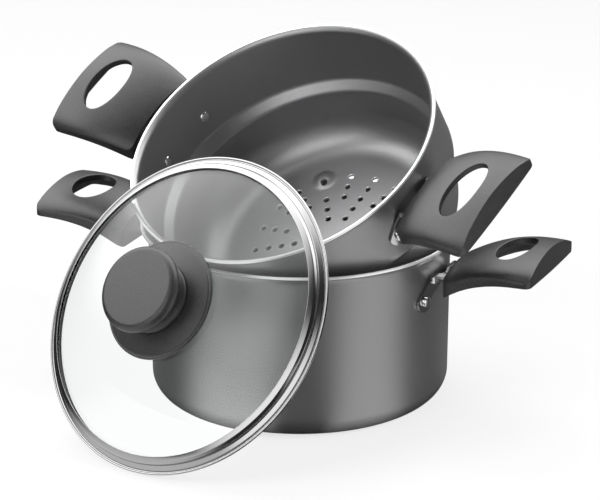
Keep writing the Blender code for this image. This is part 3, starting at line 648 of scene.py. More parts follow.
@dataclass(frozen=True)
class PolishedSteel(Finish):
    """Metal sheet, pressed or rolled and then buffed, so it mirrors with a haze that varies slowly."""

    metallic: float = 1.0
    grain: float = 7.0 * MM
    detail: float = 3.0
    rough_shift: Point | None = (-0.04, 0.05)


@dataclass(frozen=True)
class MouldedPhenolic(Finish):
    """Compression-moulded phenolic from a spark-eroded mould: hard, dark, with a fine even grain."""

    grain: float = 0.75 * MM
    detail: float = 4.0
    grit: float = 0.75
    rough_span: Point = (0.3, 0.7)
    rough_shift: Point | None = (-0.06, 0.08)
    speck: str = "#4a4a4b"
    speck_span: Point = (0.4, 0.75)
    speck_most: float = 0.55
    relief: float = 0.22


@dataclass(frozen=True)
class TemperedGlass(Finish):
    """Bent and tempered soda-lime sheet: clear, hard-edged highlights, a trace of dust in its gloss."""

    ior: float = 1.46
    grain: float = 1.0 / 90.0
    detail: float = 4.0
    rough_span: Point = (0.45, 0.8)
    rough_shift: Point | None = (0.0, 0.02)

    def set_constants(self, inputs: bpy.types.NodeInputs) -> None:
        """Set the glass's clearness too.

        Args:
            inputs: The shader's inputs.
        """
        super().set_constants(inputs)
        inputs["IOR"].default_value = self.ior
        inputs["Transmission Weight"].default_value = 1.0


@dataclass(frozen=True)
class GreySilicone(Finish):
    """Moulded silicone: matt, slightly waxy, with a fine bloom."""

    grain: float = 1.0 / 900.0
    relief: float = 0.1
    relief_height: float = 0.1 * MM


def made(finish: Finish) -> Material:
    """Let a dataclass make a finish's material when it is set up."""
    return field(default_factory=finish.make)


@dataclass
class Palette:
    """Every finish of the set, made once."""

    graphite: Material = made(GraphiteNonstick("graphite nonstick coat", "#959596", 0.38))
    bare: Material = made(TurnedAluminium("turned bare aluminium", "#f6f6f5", 0.36))
    steel: Material = made(PolishedSteel("buffed stainless steel", "#dcdcdc", 0.10))
    band: Material = made(PolishedSteel("rolled stainless band", "#9a9a9a", 0.16))
    rivet: Material = made(PolishedSteel("tumbled aluminium rivet", "#dedede", 0.22))
    phenolic: Material = made(MouldedPhenolic("moulded black phenolic", "#191919", 0.36))
    glass: Material = made(TemperedGlass("tempered clear glass", "#fbfdfc", 0.0))
    silicone: Material = made(GreySilicone("grey silicone", "#6b6b6b", 0.6))


@dataclass
class Workshop:
    """The shared trees and the way every piece is finished and mounted."""

    palette: Palette
    turning: Tree = field(default_factory=turned_tree)
    punching: Tree = field(default_factory=perforation_tree)
    fastening: Tree = field(default_factory=fastener_tree)

    def turn(self, profile: Profile, segments: int) -> Mesh:
        """Turn a closed profile about Z.

        Args:
            profile: Radii and heights; the last point joins the first.
            segments: Number of facets round the axis.

        Returns:
            The turned mesh, smooth, with its faces pointing out.
        """
        outline = [(radius, 0.0, height) for radius, height in profile]
        if outline[0][0] > ON_AXIS or outline[-1][0] > ON_AXIS:
            outline.append(outline[0])
        row = bpy.data.meshes.new("profile")
        row.from_pydata(outline, [(i, i + 1) for i in range(len(outline) - 1)], [])
        mesh = run_tree(row, self.turning, {"Segments": segments})
        mesh.materials.clear()
        bm = bmesh.new()
        bm.from_mesh(mesh)
        bmesh.ops.dissolve_degenerate(bm, dist=1e-7, edges=bm.edges)
        return facing_out(bm, mesh)

    @staticmethod
    def bare_between(mesh: Mesh, first: float, last: float) -> None:
        """Give the faces between two profile rows the second material slot.

        Args:
            mesh: A turned mesh.
            first: First profile row.
            last: Last profile row.
        """
        rows = mesh.attributes["profile_row"].data
        for polygon in mesh.polygons:
            if first <= rows[polygon.index].value <= last:
                polygon.material_index = 1

    def mount(self, name: str, mesh: Mesh, place: Matrix, body: str, slot: str,
              nodes: list[str], materials: list[Material], sharp: float = 38.0) -> None:
        """Put a finished mesh in its place and hand it to the body that carries it.

        Args:
            name: The piece's name.
            mesh: Its mesh, in the frame of its assembly.
            place: Where that frame stands.
            body: The body that it moves with.
            slot: The material slot of the record; not used.
            nodes: The solids that it stands for.
            materials: Its materials; none keeps those of the mesh.
            sharp: Edges that turn more than this many degrees stay sharp.
        """
        mesh.transform(place)
        for material in materials:
            mesh.materials.append(material)
        mesh.shade_smooth()
        mesh.set_sharp_from_angle(angle=math.radians(sharp))
        mesh.name = name
        piece = new_object(name, mesh)
        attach(piece, body)
        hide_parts(*nodes)
        LOG.info("%s: %d faces on %s", name, len(mesh.polygons), body)


# Side handle with its bracket, the same on pot and steamer

@dataclass
class SideHandle:
    """Arched phenolic handle: half-moon end, drawn-in underside and an oval finger hole."""

    inner: float = 103.4 * MM
    outer: float = 160.3 * MM
    inner_half_width: float = 31.0 * MM
    outer_half_width: float = 37.8 * MM
    side_bulge: float = 1.6 * MM
    end_bulge: float = 0.8 * MM
    corner: float = 5.0 * MM
    corner_clear: float = 2.1
    facet_slope: float = 0.1
    crown_power_inner: float = 1.98
    crown_power_outer: float = 1.7
    crown_root: float = 0.5
    crown_peak: float = 8.2 * MM
    crown_rise: float = 14.4 * MM
    crown_bend: float = 2.3
    under_inner: float = -22.4 * MM
    under_rise: float = 16.8 * MM
    under_power: float = 2.6
    band_inner: float = 7.5 * MM
    band_outer: float = 1.6 * MM
    hole_centre: float = 138.8 * MM
    hole_half_length: float = 20.6 * MM
    hole_half_width: float = 10.4 * MM
    hole_power: float = 2.1
    hole_depth: float = 4.0 * MM
    scoop: float = 0.8
    top_round: float = 1.1 * MM
    low_round: float = 0.6 * MM
    hole_round: float = 0.9 * MM
    sharp: float = 46.0
    side_steps: int = 26
    end_steps: int = 36
    samples: int = 14

    def share(self, x: float) -> float:
        """Where x lies between the inner face and the end, from 0 to 1."""
        return min(1.0, max(0.0, (x - self.inner) / (self.outer - self.inner)))

    def half_width(self, x: float) -> float:
        """Half of the handle's width at a distance from the pan's axis.

        Args:
            x: Distance from the pan's axis.

        Returns:
            Half of the width.
        """
        share = (x - self.inner) / (self.outer - self.inner)
        straight = self.inner_half_width + (self.outer_half_width - self.inner_half_width) * share
        return straight + self.side_bulge * (1.0 - (2.0 * share - 1.0) ** 2)

    def underside(self, x: float) -> float:
        """Height of the underside, which hooks down to the pan and is level at the end."""
        return self.under_inner + self.under_rise * (1.0 - (1.0 - self.share(x)) ** self.under_power)

    def top(self, x: float, y: float) -> float:
        """Height of the crowned top.

        Args:
            x: Distance from the pan's axis.
            y: Distance from the handle's centre line.

        Returns:
            The height.
        """
        share = self.share(x)
        edge = self.underside(x) + self.band_inner + (self.band_outer - self.band_inner) * share
        crown = self.crown_peak - self.crown_rise * (1.0 - share) ** self.crown_bend
        across = min(1.0, abs(y) / self.half_width(x))
        power = self.crown_power_inner + (self.crown_power_outer - self.crown_power_inner) * share
        return edge + (crown - edge) * (1.0 - across ** power) ** self.crown_root

    def bottom(self, spot: Vector, share: float) -> float:
        """Height of the lower skin, scooped out round the finger hole.

        Args:
            spot: Place in plan.
            share: How far it lies from the hole, 0, to the outline, 1.

        Returns:
            The height.
        """
        ease = min(1.0, share / self.scoop)
        ease = ease * ease * (3.0 - 2.0 * ease)
        low = self.underside(spot.x)
        pocket = max(0.0, self.top(spot.x, spot.y) - self.hole_depth - low)
        return low + pocket * (1.0 - ease)

    def outline(self) -> list[Vector]:
        """Work out the plan outline.

        Returns:
            Its points, evenly dense, from the inner right corner round.
        """
        right = []
        for i in range(self.side_steps + 1):
            x = self.inner + (self.outer - self.inner) * i / self.side_steps
            right.append((x, -self.half_width(x)))
        left = [(x, -y) for x, y in reversed(right)]
        end = []
        face = []
        for i in range(1, self.end_steps):
            y = -self.outer_half_width + 2.0 * self.outer_half_width * i / self.end_steps
            end.append((self.outer + self.end_bulge * (1.0 - (y / self.outer_half_width) ** 2), y))
            y = self.inner_half_width - 2.0 * self.inner_half_width * i / self.end_steps
            face.append((self.inner, y))
        corners = (right[0], right[-1], left[0], left[-1])
        clear = self.corner_clear * self.corner
        free = [point for point in right + end + left + face
                if point in corners or min(math.dist(point, corner) for corner in corners) > clear]
        return [Vector(point) for point in rounded(free, self.corner, steps=9, sharpest=40.0)]

    def hole_point(self, angle: float) -> Vector:
        """Point of the finger hole's outline in a direction from its centre.

        Args:
            angle: The direction.

        Returns:
            The point in plan.
        """
        across = abs(math.cos(angle)) / self.hole_half_width
        along = abs(math.sin(angle)) / self.hole_half_length
        reach = (across ** self.hole_power + along ** self.hole_power) ** (-1.0 / self.hole_power)
        return Vector((self.hole_centre + reach * math.cos(angle), reach * math.sin(angle)))

    def section(self, place: Vector) -> list[Vector]:
        """One closed section from the finger hole out to a point of the outline and back.

        Args:
            place: The outline's point.

        Returns:
            The section's points in space.
        """
        way = place - Vector((self.hole_centre, 0.0))
        inner = self.hole_point(math.atan2(way.y, way.x))
        reach = (place - inner).length
        toward = (place - inner) / reach
        upper = []
        lower = []
        for i in range(self.samples + 1):
            distance = reach * math.sin(math.pi / 2.0 * i / self.samples)
            spot = inner + toward * distance
            upper.append((distance, self.top(spot.x, spot.y)))
            share = 1.0 - i / self.samples
            lower.append((reach * share, self.bottom(inner + toward * reach * share, share)))
        foot = self.underside(self.outer)
        points = []
        for distance, height in self.softened(upper + lower):
            spot = inner + toward * distance
            facet = self.outer + self.end_bulge - self.facet_slope * (height - foot)
            points.append(Vector((min(spot.x, facet), spot.y, height)))
        return points

    def softened(self, flat: Profile) -> Profile:
        """Round the four corners of a section.

        Args:
            flat: Distances and heights round the section.

        Returns:
            The section with seven points in place of each corner.
        """
        most = 0.48
        last = self.samples
        radii = {0: self.hole_round, last: self.top_round, last + 1: self.low_round,
                 2 * last + 1: self.hole_round}
        result = []
        for i, here in enumerate(flat):
            if i not in radii:
                result.append(here)
                continue
            corner = Vector(here)
            before = Vector(flat[i - 1]) - corner
            after = Vector(flat[(i + 1) % len(flat)]) - corner
            start = corner + before.normalized() * min(radii[i], most * before.length)
            end = corner + after.normalized() * min(radii[i], most * after.length)
            result += bent(start, corner, end, steps=6)
        return result

    def mesh(self) -> Mesh:
        """Build the handle, its inner end towards the pan's axis.

        Returns:
            The handle's mesh.
        """
        bm = bmesh.new()
        columns = [[bm.verts.new(point) for point in self.section(place)] for place in self.outline()]
        for i, column in enumerate(columns):
            band_between(bm, column, columns[(i + 1) % len(columns)])
        return facing_out(bm, bpy.data.meshes.new("handle"))


@dataclass
class Bracket:
    """Bent stainless plate: two ears on the wall and three fingers folded out towards the handle."""

    plate: float = 1.5 * MM
    rivet_drop: float = 29.3 * MM
    rivet_spread: float = 19.8 * MM
    ear_radius: float = 6.6 * MM
    ear_power: float = 4.0
    neck: float = 0.94
    top: float = 14.9 * MM
    fall: float = 0.95
    fall_start: float = 1.0 * MM
    arch: float = 6.5 * MM
    arch_rise: float = 1.6
    lean: float = 0.2
    crease_slope: float = 0.72
    crease_drop: float = 6.0 * MM
    crease_soft: float = 1.2 * MM
    bend: float = 2.6 * MM
    bend_start: float = 0.8
    bend_steps: int = 8
    root: float = 2.5 * MM
    tab_half_width: float = 6.6 * MM
    tab_reach: float = 110.9 * MM
    lug_near: float = 9.2 * MM
    lug_far: float = 15.0 * MM
    lug_reach: float = 107.0 * MM
    sharp: float = 50.0
    lowest_slice: float = 1.2 * MM
    last_slice: float = 0.998
    slices: int = 84
    steps: int = 12

    @property
    def tab_height(self) -> float:
        """Height of the fingers' upper face below the rim."""
        return self.top - self.rivet_drop

    def low(self, y: float) -> float:
        """Lower edge of the plate at a distance along the wall.

        Args:
            y: Distance along the wall from the middle of the handle.

        Returns:
            Its height from the rivets.
        """
        from_ear = abs(y) - self.rivet_spread
        if from_ear > -self.ear_radius * self.neck:
            return -math.sqrt(max(0.0, self.ear_radius ** 2 - from_ear ** 2))
        arch = self.rivet_spread - self.ear_radius * self.neck
        return (self.top - self.arch) * min(1.0, self.arch_rise * (1.0 - abs(y) / arch))

    def high(self, y: float) -> float:
        """Upper edge of the plate: level behind the fingers, then falling to the ears.

        Args:
            y: Distance along the wall from the middle of the handle.

        Returns:
            Its height from the rivets.
        """
        level = self.top - self.bend_start * self.bend
        slope = level - self.fall * max(0.0, abs(y) - self.lug_far + self.fall_start)
        past_ear = max(0.0, (abs(y) - self.rivet_spread) / self.ear_radius)
        return slope * (1.0 - min(1.0, past_ear) ** self.ear_power) ** (1.0 / self.ear_power)

    def standoff(self, y: float, height: float) -> float:
        """How far the plate leans out from the wall above the crease that runs down from its shoulders.

        Args:
            y: Distance along the wall from the middle of the handle.
            height: Height from the rivets.

        Returns:
            The distance from the wall.
        """
        over = height - self.crease_slope * abs(y) + self.crease_drop
        soft = self.crease_soft
        return self.lean * (max(0.0, over) ** 2 / (2.0 * soft) if over < soft else over - 0.5 * soft)

    def mesh(self, wall_radius: float) -> Mesh:
        """Build the plate and join its tab and two lugs to it.

        Args:
            wall_radius: Outer radius of the pan's wall at the rivets.

        Returns:
            The bracket's mesh.
        """
        bm = bmesh.new()
        reach = self.rivet_spread + self.ear_radius
        columns = []
        for i in range(self.slices + 1):
            y = reach * self.last_slice * math.sin((2.0 * i / self.slices - 1.0) * math.pi / 2.0)
            columns.append(self.column(bm, wall_radius, y))
        for first, second in zip(columns, columns[1:]):
            band_between(bm, first, second)
        bm.faces.new(columns[0])
        bm.faces.new(list(reversed(columns[-1])))
        plate = facing_out(bm, bpy.data.meshes.new("plate"))
        bm = bmesh.new()
        self.finger(bm, wall_radius, (-self.tab_half_width, self.tab_half_width), self.tab_reach)
        self.finger(bm, wall_radius, (self.lug_near, self.lug_far), self.lug_reach)
        self.finger(bm, wall_radius, (-self.lug_far, -self.lug_near), self.lug_reach)
        fingers = facing_out(bm, bpy.data.meshes.new("fingers"))
        return combined(plate, fingers, "UNION", use_self=True)

    def column(self, bm: bmesh.types.BMesh, wall_radius: float, y: float) -> list[bmesh.types.BMVert]:
        """Add the vertices of one slice through the plate.

        Args:
            bm: The mesh that gets them.
            wall_radius: Outer radius of the pan's wall.
            y: Distance along the wall.

        Returns:
            The slice's vertices in order.
        """
        low = self.low(y)
        high = max(self.high(y), low + self.lowest_slice)
        heights = [low + (high - low) * i / self.steps for i in range(self.steps + 1)]
        angle = y / wall_radius
        column = []
        for skin, order in ((0.0, heights), (self.plate, list(reversed(heights)))):
            for height in order:
                radius = wall_radius + GAP + skin + self.standoff(y, height)
                place = (radius * math.cos(angle), radius * math.sin(angle), height - self.rivet_drop)
                column.append(bm.verts.new(place))
        return column

    def finger(self, bm: bmesh.types.BMesh, wall_radius: float, sides: Point, reach: float) -> None:
        """Add one finger: up from the plate, round the bend and out to the handle.

        Args:
            bm: The mesh that gets it.
            wall_radius: Outer radius of the pan's wall.
            sides: Its two sides, along the wall.
            reach: Where it ends.
        """
        middle = 0.5 * (sides[0] + sides[1])
        foot = self.top - self.bend - self.root
        start = (wall_radius + GAP + self.standoff(middle, self.top)) * math.cos(middle / wall_radius)
        centre = (start + self.bend, self.top - self.bend)
        skin = [(start, foot)]
        skin += arc(centre, self.bend, 180.0, 90.0, self.bend_steps)
        skin += [(reach, self.top), (reach, self.top - self.plate)]
        skin += arc(centre, self.bend - self.plate, 90.0, 180.0, self.bend_steps)
        skin += [(start + self.plate, foot)]
        near, far = ([bm.verts.new((x, y, height - self.rivet_drop)) for x, height in skin] for y in sides)
        band_between(bm, near, far)
        bm.faces.new(far)
        bm.faces.new(list(reversed(near)))


@dataclass
class Fasteners:
    """Profiles of the rivets and of the handle screws.

    The domes are in shares of their head's radius and height, the screw's underside in
    millimetres from its middle: recess, face and rounded edge.
    """

    shank: float = 2.0 * MM
    head: float = 3.3 * MM
    head_height: float = 2.0 * MM
    head_dome: tuple[Point, ...] = ((1.0, 0.0), (1.0, 0.62), (0.93, 0.88), (0.78, 1.0), (0.0, 1.06))
    inner_share: float = 1.15
    inner_height: float = 0.9 * MM
    inner_dome: tuple[Point, ...] = ((0.0, 1.0), (0.45, 0.97), (0.8, 0.78))
    inner_edge: float = 0.3 * MM
    play: float = 0.1 * MM
    screw_face: tuple[Point, ...] = ((0.0, 0.9), (1.1, 0.9), (1.2, 0.0), (2.25, 0.0), (3.0, 0.7))
    screw_head: float = 3.0 * MM
    screw_shank: float = 1.9 * MM
    screw_head_height: float = 2.0 * MM
    screw_low: float = 1.2 * MM
    screw_grip: float = 5.0 * MM
    screw_soft: float = 0.2 * MM

    def rivet(self, wall_radius: float, wall: float, plate: float) -> Profile:
        """Profile of a rivet, its height running outwards from the pan's axis.

        Args:
            wall_radius: Outer radius of the wall.
            wall: Thickness of the wall.
            plate: Thickness of the bracket.

        Returns:
            The profile.
        """
        outside = wall_radius + GAP + plate + self.play
        inside = wall_radius - wall - self.play
        inner = self.inner_share * self.head
        points = [(inner * out, inside - self.inner_height * up) for out, up in self.inner_dome]
        points += [(inner * 0.97, inside - self.inner_edge), (inner, inside)]
        points += [(self.shank, inside), (self.shank, outside)]
        return points + [(self.head * out, outside + self.head_height * up) for out, up in self.head_dome]

    def screw(self, tab_height: float, plate: float) -> Profile:
        """Profile of a handle screw with a round drive recess.

        Args:
            tab_height: Height of the tab's upper face.
            plate: Thickness of the tab.

        Returns:
            The profile.
        """
        top = tab_height - plate - GAP - self.screw_low
        low = top - self.screw_head_height
        end = tab_height + self.screw_grip
        points = offsets((0.0, low), self.screw_face)
        points += [(self.screw_head, top), (self.screw_shank, top), (self.screw_shank, end), (0.0, end)]
        return rounded(points, self.screw_soft, steps=2)


# Pans

@dataclass
class Pan:
    """A round pan with two handles; the pot and the steamer add their sizes and sections."""

    shop: Workshop
    place: Matrix
    name: str
    rim_height: float
    outer_radius: float
    wall: float
    turn: float
    lip_out: float
    lip_inside: float
    lip_height: float = 6.7 * MM
    lip_edge: float = 1.7 * MM
    lip_reach: float = 0.85
    lip_steps: tuple[int, int] = (8, 12)
    lip_round: tuple[Point, ...] = ((0.0, -0.35), (-0.1, -0.1), (-0.35, 0.0))
    handle: SideHandle = field(default_factory=SideHandle)
    bracket: Bracket = field(default_factory=Bracket)
    fasteners: Fasteners = field(default_factory=Fasteners)
    segments: int = 200
    fastener_segments: int = 24
    screw_reach: float = 107.6 * MM

    @property
    def wall_radius(self) -> float:
        """Outer radius of the wall at the rivets."""
        return self.outer_radius

    def lip(self) -> tuple[Profile, Profile, Profile]:
        """Work out the lip.

        Returns:
            Its sections up the outside, round the edge and down the inside.
        """
        rim = self.outer_radius + self.lip_out
        top = self.rim_height
        outer_steps, inner_steps = self.lip_steps
        outside = flare(self.outer_radius, rim, top - self.lip_edge, self.lip_height - self.lip_edge,
                        outer_steps)
        edge = offsets((rim, top), self.lip_round)
        inside = flare(self.outer_radius - self.wall, rim, top, self.lip_inside, inner_steps,
                       self.lip_reach)
        return outside, edge, inside[::-1]

    def mount(self, part: str, mesh: Mesh, place: Matrix, slot: str, solids: list[str],
              materials: list[Material], sharp: float = 38.0) -> None:
        """Mount a piece of the pan on the pan's own body.

        Args:
            part: The piece's name after the pan's.
            mesh: Its mesh.
            place: Where its frame stands.
            slot: The material slot of the record.
            solids: The solids that it stands for, named after the pan's name.
            materials: Its materials; none keeps those of the mesh.
            sharp: Edges that turn more than this many degrees stay sharp.
        """
        nodes = [f"{self.name}_{solid}" for solid in solids]
        self.shop.mount(f"{self.name}_{part}", mesh, place, self.name, slot, nodes, materials, sharp)

    def add_handles(self) -> None:
        """Mount both handles, their brackets and all fasteners."""
        rim = self.place @ Matrix.Translation((0.0, 0.0, self.rim_height))
        handle = self.handle.mesh()
        bracket = self.bracket.mesh(self.wall_radius)
        palette = self.shop.palette
        for side in Side:
            spin = rim @ Matrix.Rotation(self.turn + side.value, 4, "Z")
            label = side.name.lower()
            self.mount(f"grip_{label}", handle.copy(), spin, "black_phenolic", [f"handle_{label}"],
                       [palette.phenolic], self.handle.sharp)
            self.mount(f"plate_{label}", bracket.copy(), spin, "stainless_steel", [f"bracket_{label}"],
                       [palette.steel], self.bracket.sharp)
        self.add_rivets(rim)
        self.add_screws(rim)

    def fasten(self, profile: Profile, lie: Matrix, values: dict) -> Mesh:
        """Turn a fastener and set copies of it at both handles.

        Args:
            profile: The fastener's section.
            lie: How it lies before it is copied.
            values: Where the copies go, as inputs of the shared tree.

        Returns:
            The mesh of all copies.
        """
        fastener = self.shop.turn(profile, self.fastener_segments)
        fastener.transform(lie)
        sample = new_object("fastener", fastener)
        mesh = run_tree(bpy.data.meshes.new("seed"), self.shop.fastening,
                        {"Fastener": sample, "Turn": self.turn, **values})
        discard(sample)
        return mesh

    def add_rivets(self, rim: Matrix) -> None:
        """Mount the pan's four rivets as one piece.

        Args:
            rim: Where the rim stands.
        """
        profile = self.fasteners.rivet(self.wall_radius, self.wall, self.bracket.plate)
        mesh = self.fasten(profile, Matrix.Rotation(math.pi / 2.0, 4, "Y"), {
            "At each handle": 2, "Radius": 0.0, "Height": -self.bracket.rivet_drop,
            "Spread": self.bracket.rivet_spread / self.wall_radius, "Material": self.shop.palette.rivet})
        solids = [f"rivet_{side.name.lower()}_{end}" for side in Side for end in ("front", "rear")]
        self.mount("rivets", mesh, rim, "rivet_metal", solids, [])

    def add_screws(self, rim: Matrix) -> None:
        """Mount the two handle screws as one piece.

        Args:
            rim: Where the rim stands.
        """
        profile = self.fasteners.screw(self.bracket.tab_height, self.bracket.plate)
        mesh = self.fasten(profile, Matrix.Identity(4), {
            "At each handle": 1, "Radius": self.screw_reach, "Height": 0.0, "Spread": 0.0,
            "Material": self.shop.palette.steel})
        solids = [f"handle_screw_{side.name.lower()}" for side in Side]
        self.mount("screws", mesh, rim, "stainless_steel", solids, [])


@dataclass
class CookingPot(Pan):
    """The pot, upright on its base. At the rivets the drafted wall is 22.6 of its 83.0 mm down."""

    name: str = "pot"
    rim_height: float = 103.7 * MM
    outer_radius: float = 90.4 * MM
    wall: float = 0.8 * MM
    turn: float = math.radians(-24.1)
    lip_out: float = 4.3 * MM
    lip_inside: float = 6.7 * MM
    floor: float = 2.4 * MM
    corner: float = 14.0 * MM
    draft: float = 0.8 * MM
    draft_at_rivets: float = 0.8 * MM * 22.6 / 83.0
    spacing: float = 6.0 * MM
    corner_steps: tuple[int, int] = (14, 12)
    bare_past_edge: float = 1.6

    @property
    def wall_radius(self) -> float:
        """Outer radius of the drafted wall at the rivets."""
        return self.outer_radius - self.draft_at_rivets

    def build(self) -> None:
        """Build and mount the pot."""
        lip_outside, edge, lip_inside = self.lip()
        low_radius = self.outer_radius - self.draft
        inner_corner = self.corner - self.wall
        low_inner = low_radius - self.wall
        outer_steps, inner_steps = self.corner_steps
        outside = [(0.0, 0.0)]
        outside += arc((low_radius - self.corner, self.corner), self.corner, -90.0, 0.0, outer_steps)
        outside = dense(outside + lip_outside, self.spacing)
        bend = (low_inner - inner_corner, self.floor + inner_corner)
        inside = lip_inside + arc(bend, inner_corner, 0.0, -90.0, inner_steps) + [(0.0, self.floor)]
        inside = dense(inside, self.spacing)
        mesh = self.shop.turn(outside + edge + inside, self.segments)
        first = len(outside) - 1
        self.shop.bare_between(mesh, first, first + len(edge) + self.bare_past_edge)
        self.mount("shell", mesh, self.place, "graphite_nonstick", ["body"],
                   [self.shop.palette.graphite, self.shop.palette.bare])
        self.add_handles()


@dataclass
class SteamerInsert(Pan):
    """The perforated insert, leaning in the pot's mouth. Its rim is at height 0.

    The table of the hole's broken edge is in millimetres from the bottom's inner face.
    """

    name: str = "steamer"
    rim_height: float = 0.0
    outer_radius: float = 93.0 * MM
    wall: float = 1.5 * MM
    turn: float = 0.0
    lip_out: float = 2.5 * MM
    lip_inside: float = 4.0 * MM
    lower_radius: float = 87.3 * MM
    depth: float = 90.0 * MM
    shoulder: float = 43.6 * MM
    shoulder_drop: float = 7.4 * MM
    shoulder_in: float = 0.2 * MM
    shoulder_round: float = 2.0 * MM
    ledge_rise: float = 1.0 * MM
    corner: float = 22.1 * MM
    corner_steps: int = 18
    spacing: float = 1.3 * MM
    bare_past_edge: float = 0.6
    lines: int = 18
    last_ring: int = 6
    first_long: float = 2.0
    first_short: float = 4.0
    under_dome: float = 4.5
    pitch: float = 8.35 * MM
    hole_radius: float = 1.85 * MM
    hole_edge: tuple[Point, ...] = ((0.0, -0.35), (0.45, 0.1), (0.45, 5.0))
    punch_reach: float = 3.0 * MM
    hole_segments: int = 20
    pattern_turn: float = math.radians(130.3)
    dimple_distance: float = 51.0 * MM
    dimple_radius: float = 7.6 * MM
    dimple_height: float = 2.6 * MM
    dimple_power: float = 1.25
    dimple_reach: float = 3.0 * MM
    dimple_hole: float = 47.6 * MM

    def profile(self) -> tuple[Profile, int, int]:
        """Work out the section.

        Returns:
            The profile and the rows where the bare rim edge starts and ends.
        """
        lip_outside, edge, lip_inside = self.lip()
        outer = self.outer_radius
        foot = -self.depth
        shoulder = -self.shoulder
        cone_foot = shoulder - self.shoulder_drop
        bend = (self.lower_radius - self.corner, foot + self.corner)
        outside = dense([(0.0, foot), (bend[0], foot)], self.spacing)[:-1]
        outside += arc(bend, self.corner, -90.0, 0.0, self.corner_steps)
        cone = [(self.lower_radius, cone_foot), (outer - self.shoulder_in, shoulder - self.shoulder_round),
                (outer, shoulder)]
        outside += self.eased(cone, outside[-1], (outer, -self.lip_height)) + lip_outside
        low_inner = self.lower_radius - self.wall
        ledge = [(outer - self.wall, shoulder), (low_inner, cone_foot + self.ledge_rise)]
        inside = lip_inside + self.eased(ledge, lip_inside[-1], (low_inner, bend[1]))
        inside += arc(bend, self.corner - self.wall, 0.0, -90.0, self.corner_steps)
        inside += dense([inside[-1], (0.0, foot + self.wall)], self.spacing)[1:]
        start = len(outside)
        return outside + edge + inside, start - 1, start + len(edge)

    @staticmethod
    def eased(corners: Profile, before: Point, after: Point) -> Profile:
        """Round a run of corners between two fixed points.

        Args:
            corners: The corners to round.
            before: The point before them.
            after: The point after them.

        Returns:
            The rounded run without the fixed points and what lies close to them.
        """
        soft = 1.8 * MM
        clear = 2.0 * MM
        loop = rounded([before] + corners + [after], soft, steps=5, sharpest=8.0)
        return [spot for spot in loop if math.dist(spot, before) > clear and math.dist(spot, after) > clear]

    def press_dome(self, mesh: Mesh) -> None:
        """Raise the small dome in the bottom, both faces together.

        Args:
            mesh: The insert's mesh, which is changed.
        """
        centre = Vector((self.dimple_distance * math.cos(self.pattern_turn),
                         self.dimple_distance * math.sin(self.pattern_turn)))
        for vert in mesh.vertices:
            away = (Vector((vert.co.x, vert.co.y)) - centre).length / self.dimple_radius
            if vert.co.z <= -self.depth + self.dimple_reach and away < 1.0:
                vert.co.z += self.dimple_height * (1.0 - away ** 2) ** self.dimple_power

    def punch(self, mesh: Mesh) -> Mesh:
        """Cut the perforations with slightly broken edges.

        Args:
            mesh: The insert without holes.

        Returns:
            The perforated mesh, bare metal in its holes.
        """
        low = -self.depth - self.punch_reach
        profile = [(0.0, low), (self.hole_radius, low)]
        profile += offsets((self.hole_radius, -self.depth + self.wall), self.hole_edge)
        profile.append((0.0, profile[-1][1]))
        punch = new_object("punch", self.shop.turn(profile, self.hole_segments))
        cutters = run_tree(bpy.data.meshes.new("seed"), self.shop.punching, {
            "Punch": punch, "Lines": self.lines, "Rings": self.last_ring, "Pitch": self.pitch,
            "Turn": self.pattern_turn, "First long": self.first_long, "First short": self.first_short,
            "Dome hole": self.dimple_hole, "Under dome": self.under_dome,
            "Material": self.shop.palette.bare})
        discard(punch)
        return combined(mesh, cutters, "DIFFERENCE", material_mode="TRANSFER")

    def build(self) -> None:
        """Build and mount the steamer insert."""
        profile, first, last = self.profile()
        mesh = self.shop.turn(profile, self.segments)
        mesh.materials.append(self.shop.palette.graphite)
        mesh.materials.append(self.shop.palette.bare)
        self.shop.bare_between(mesh, first, last + self.bare_past_edge)
        self.press_dome(mesh)
        self.mount("shell", self.punch(mesh), self.place, "graphite_nonstick", ["body"], [])
        self.add_handles()


# Lid

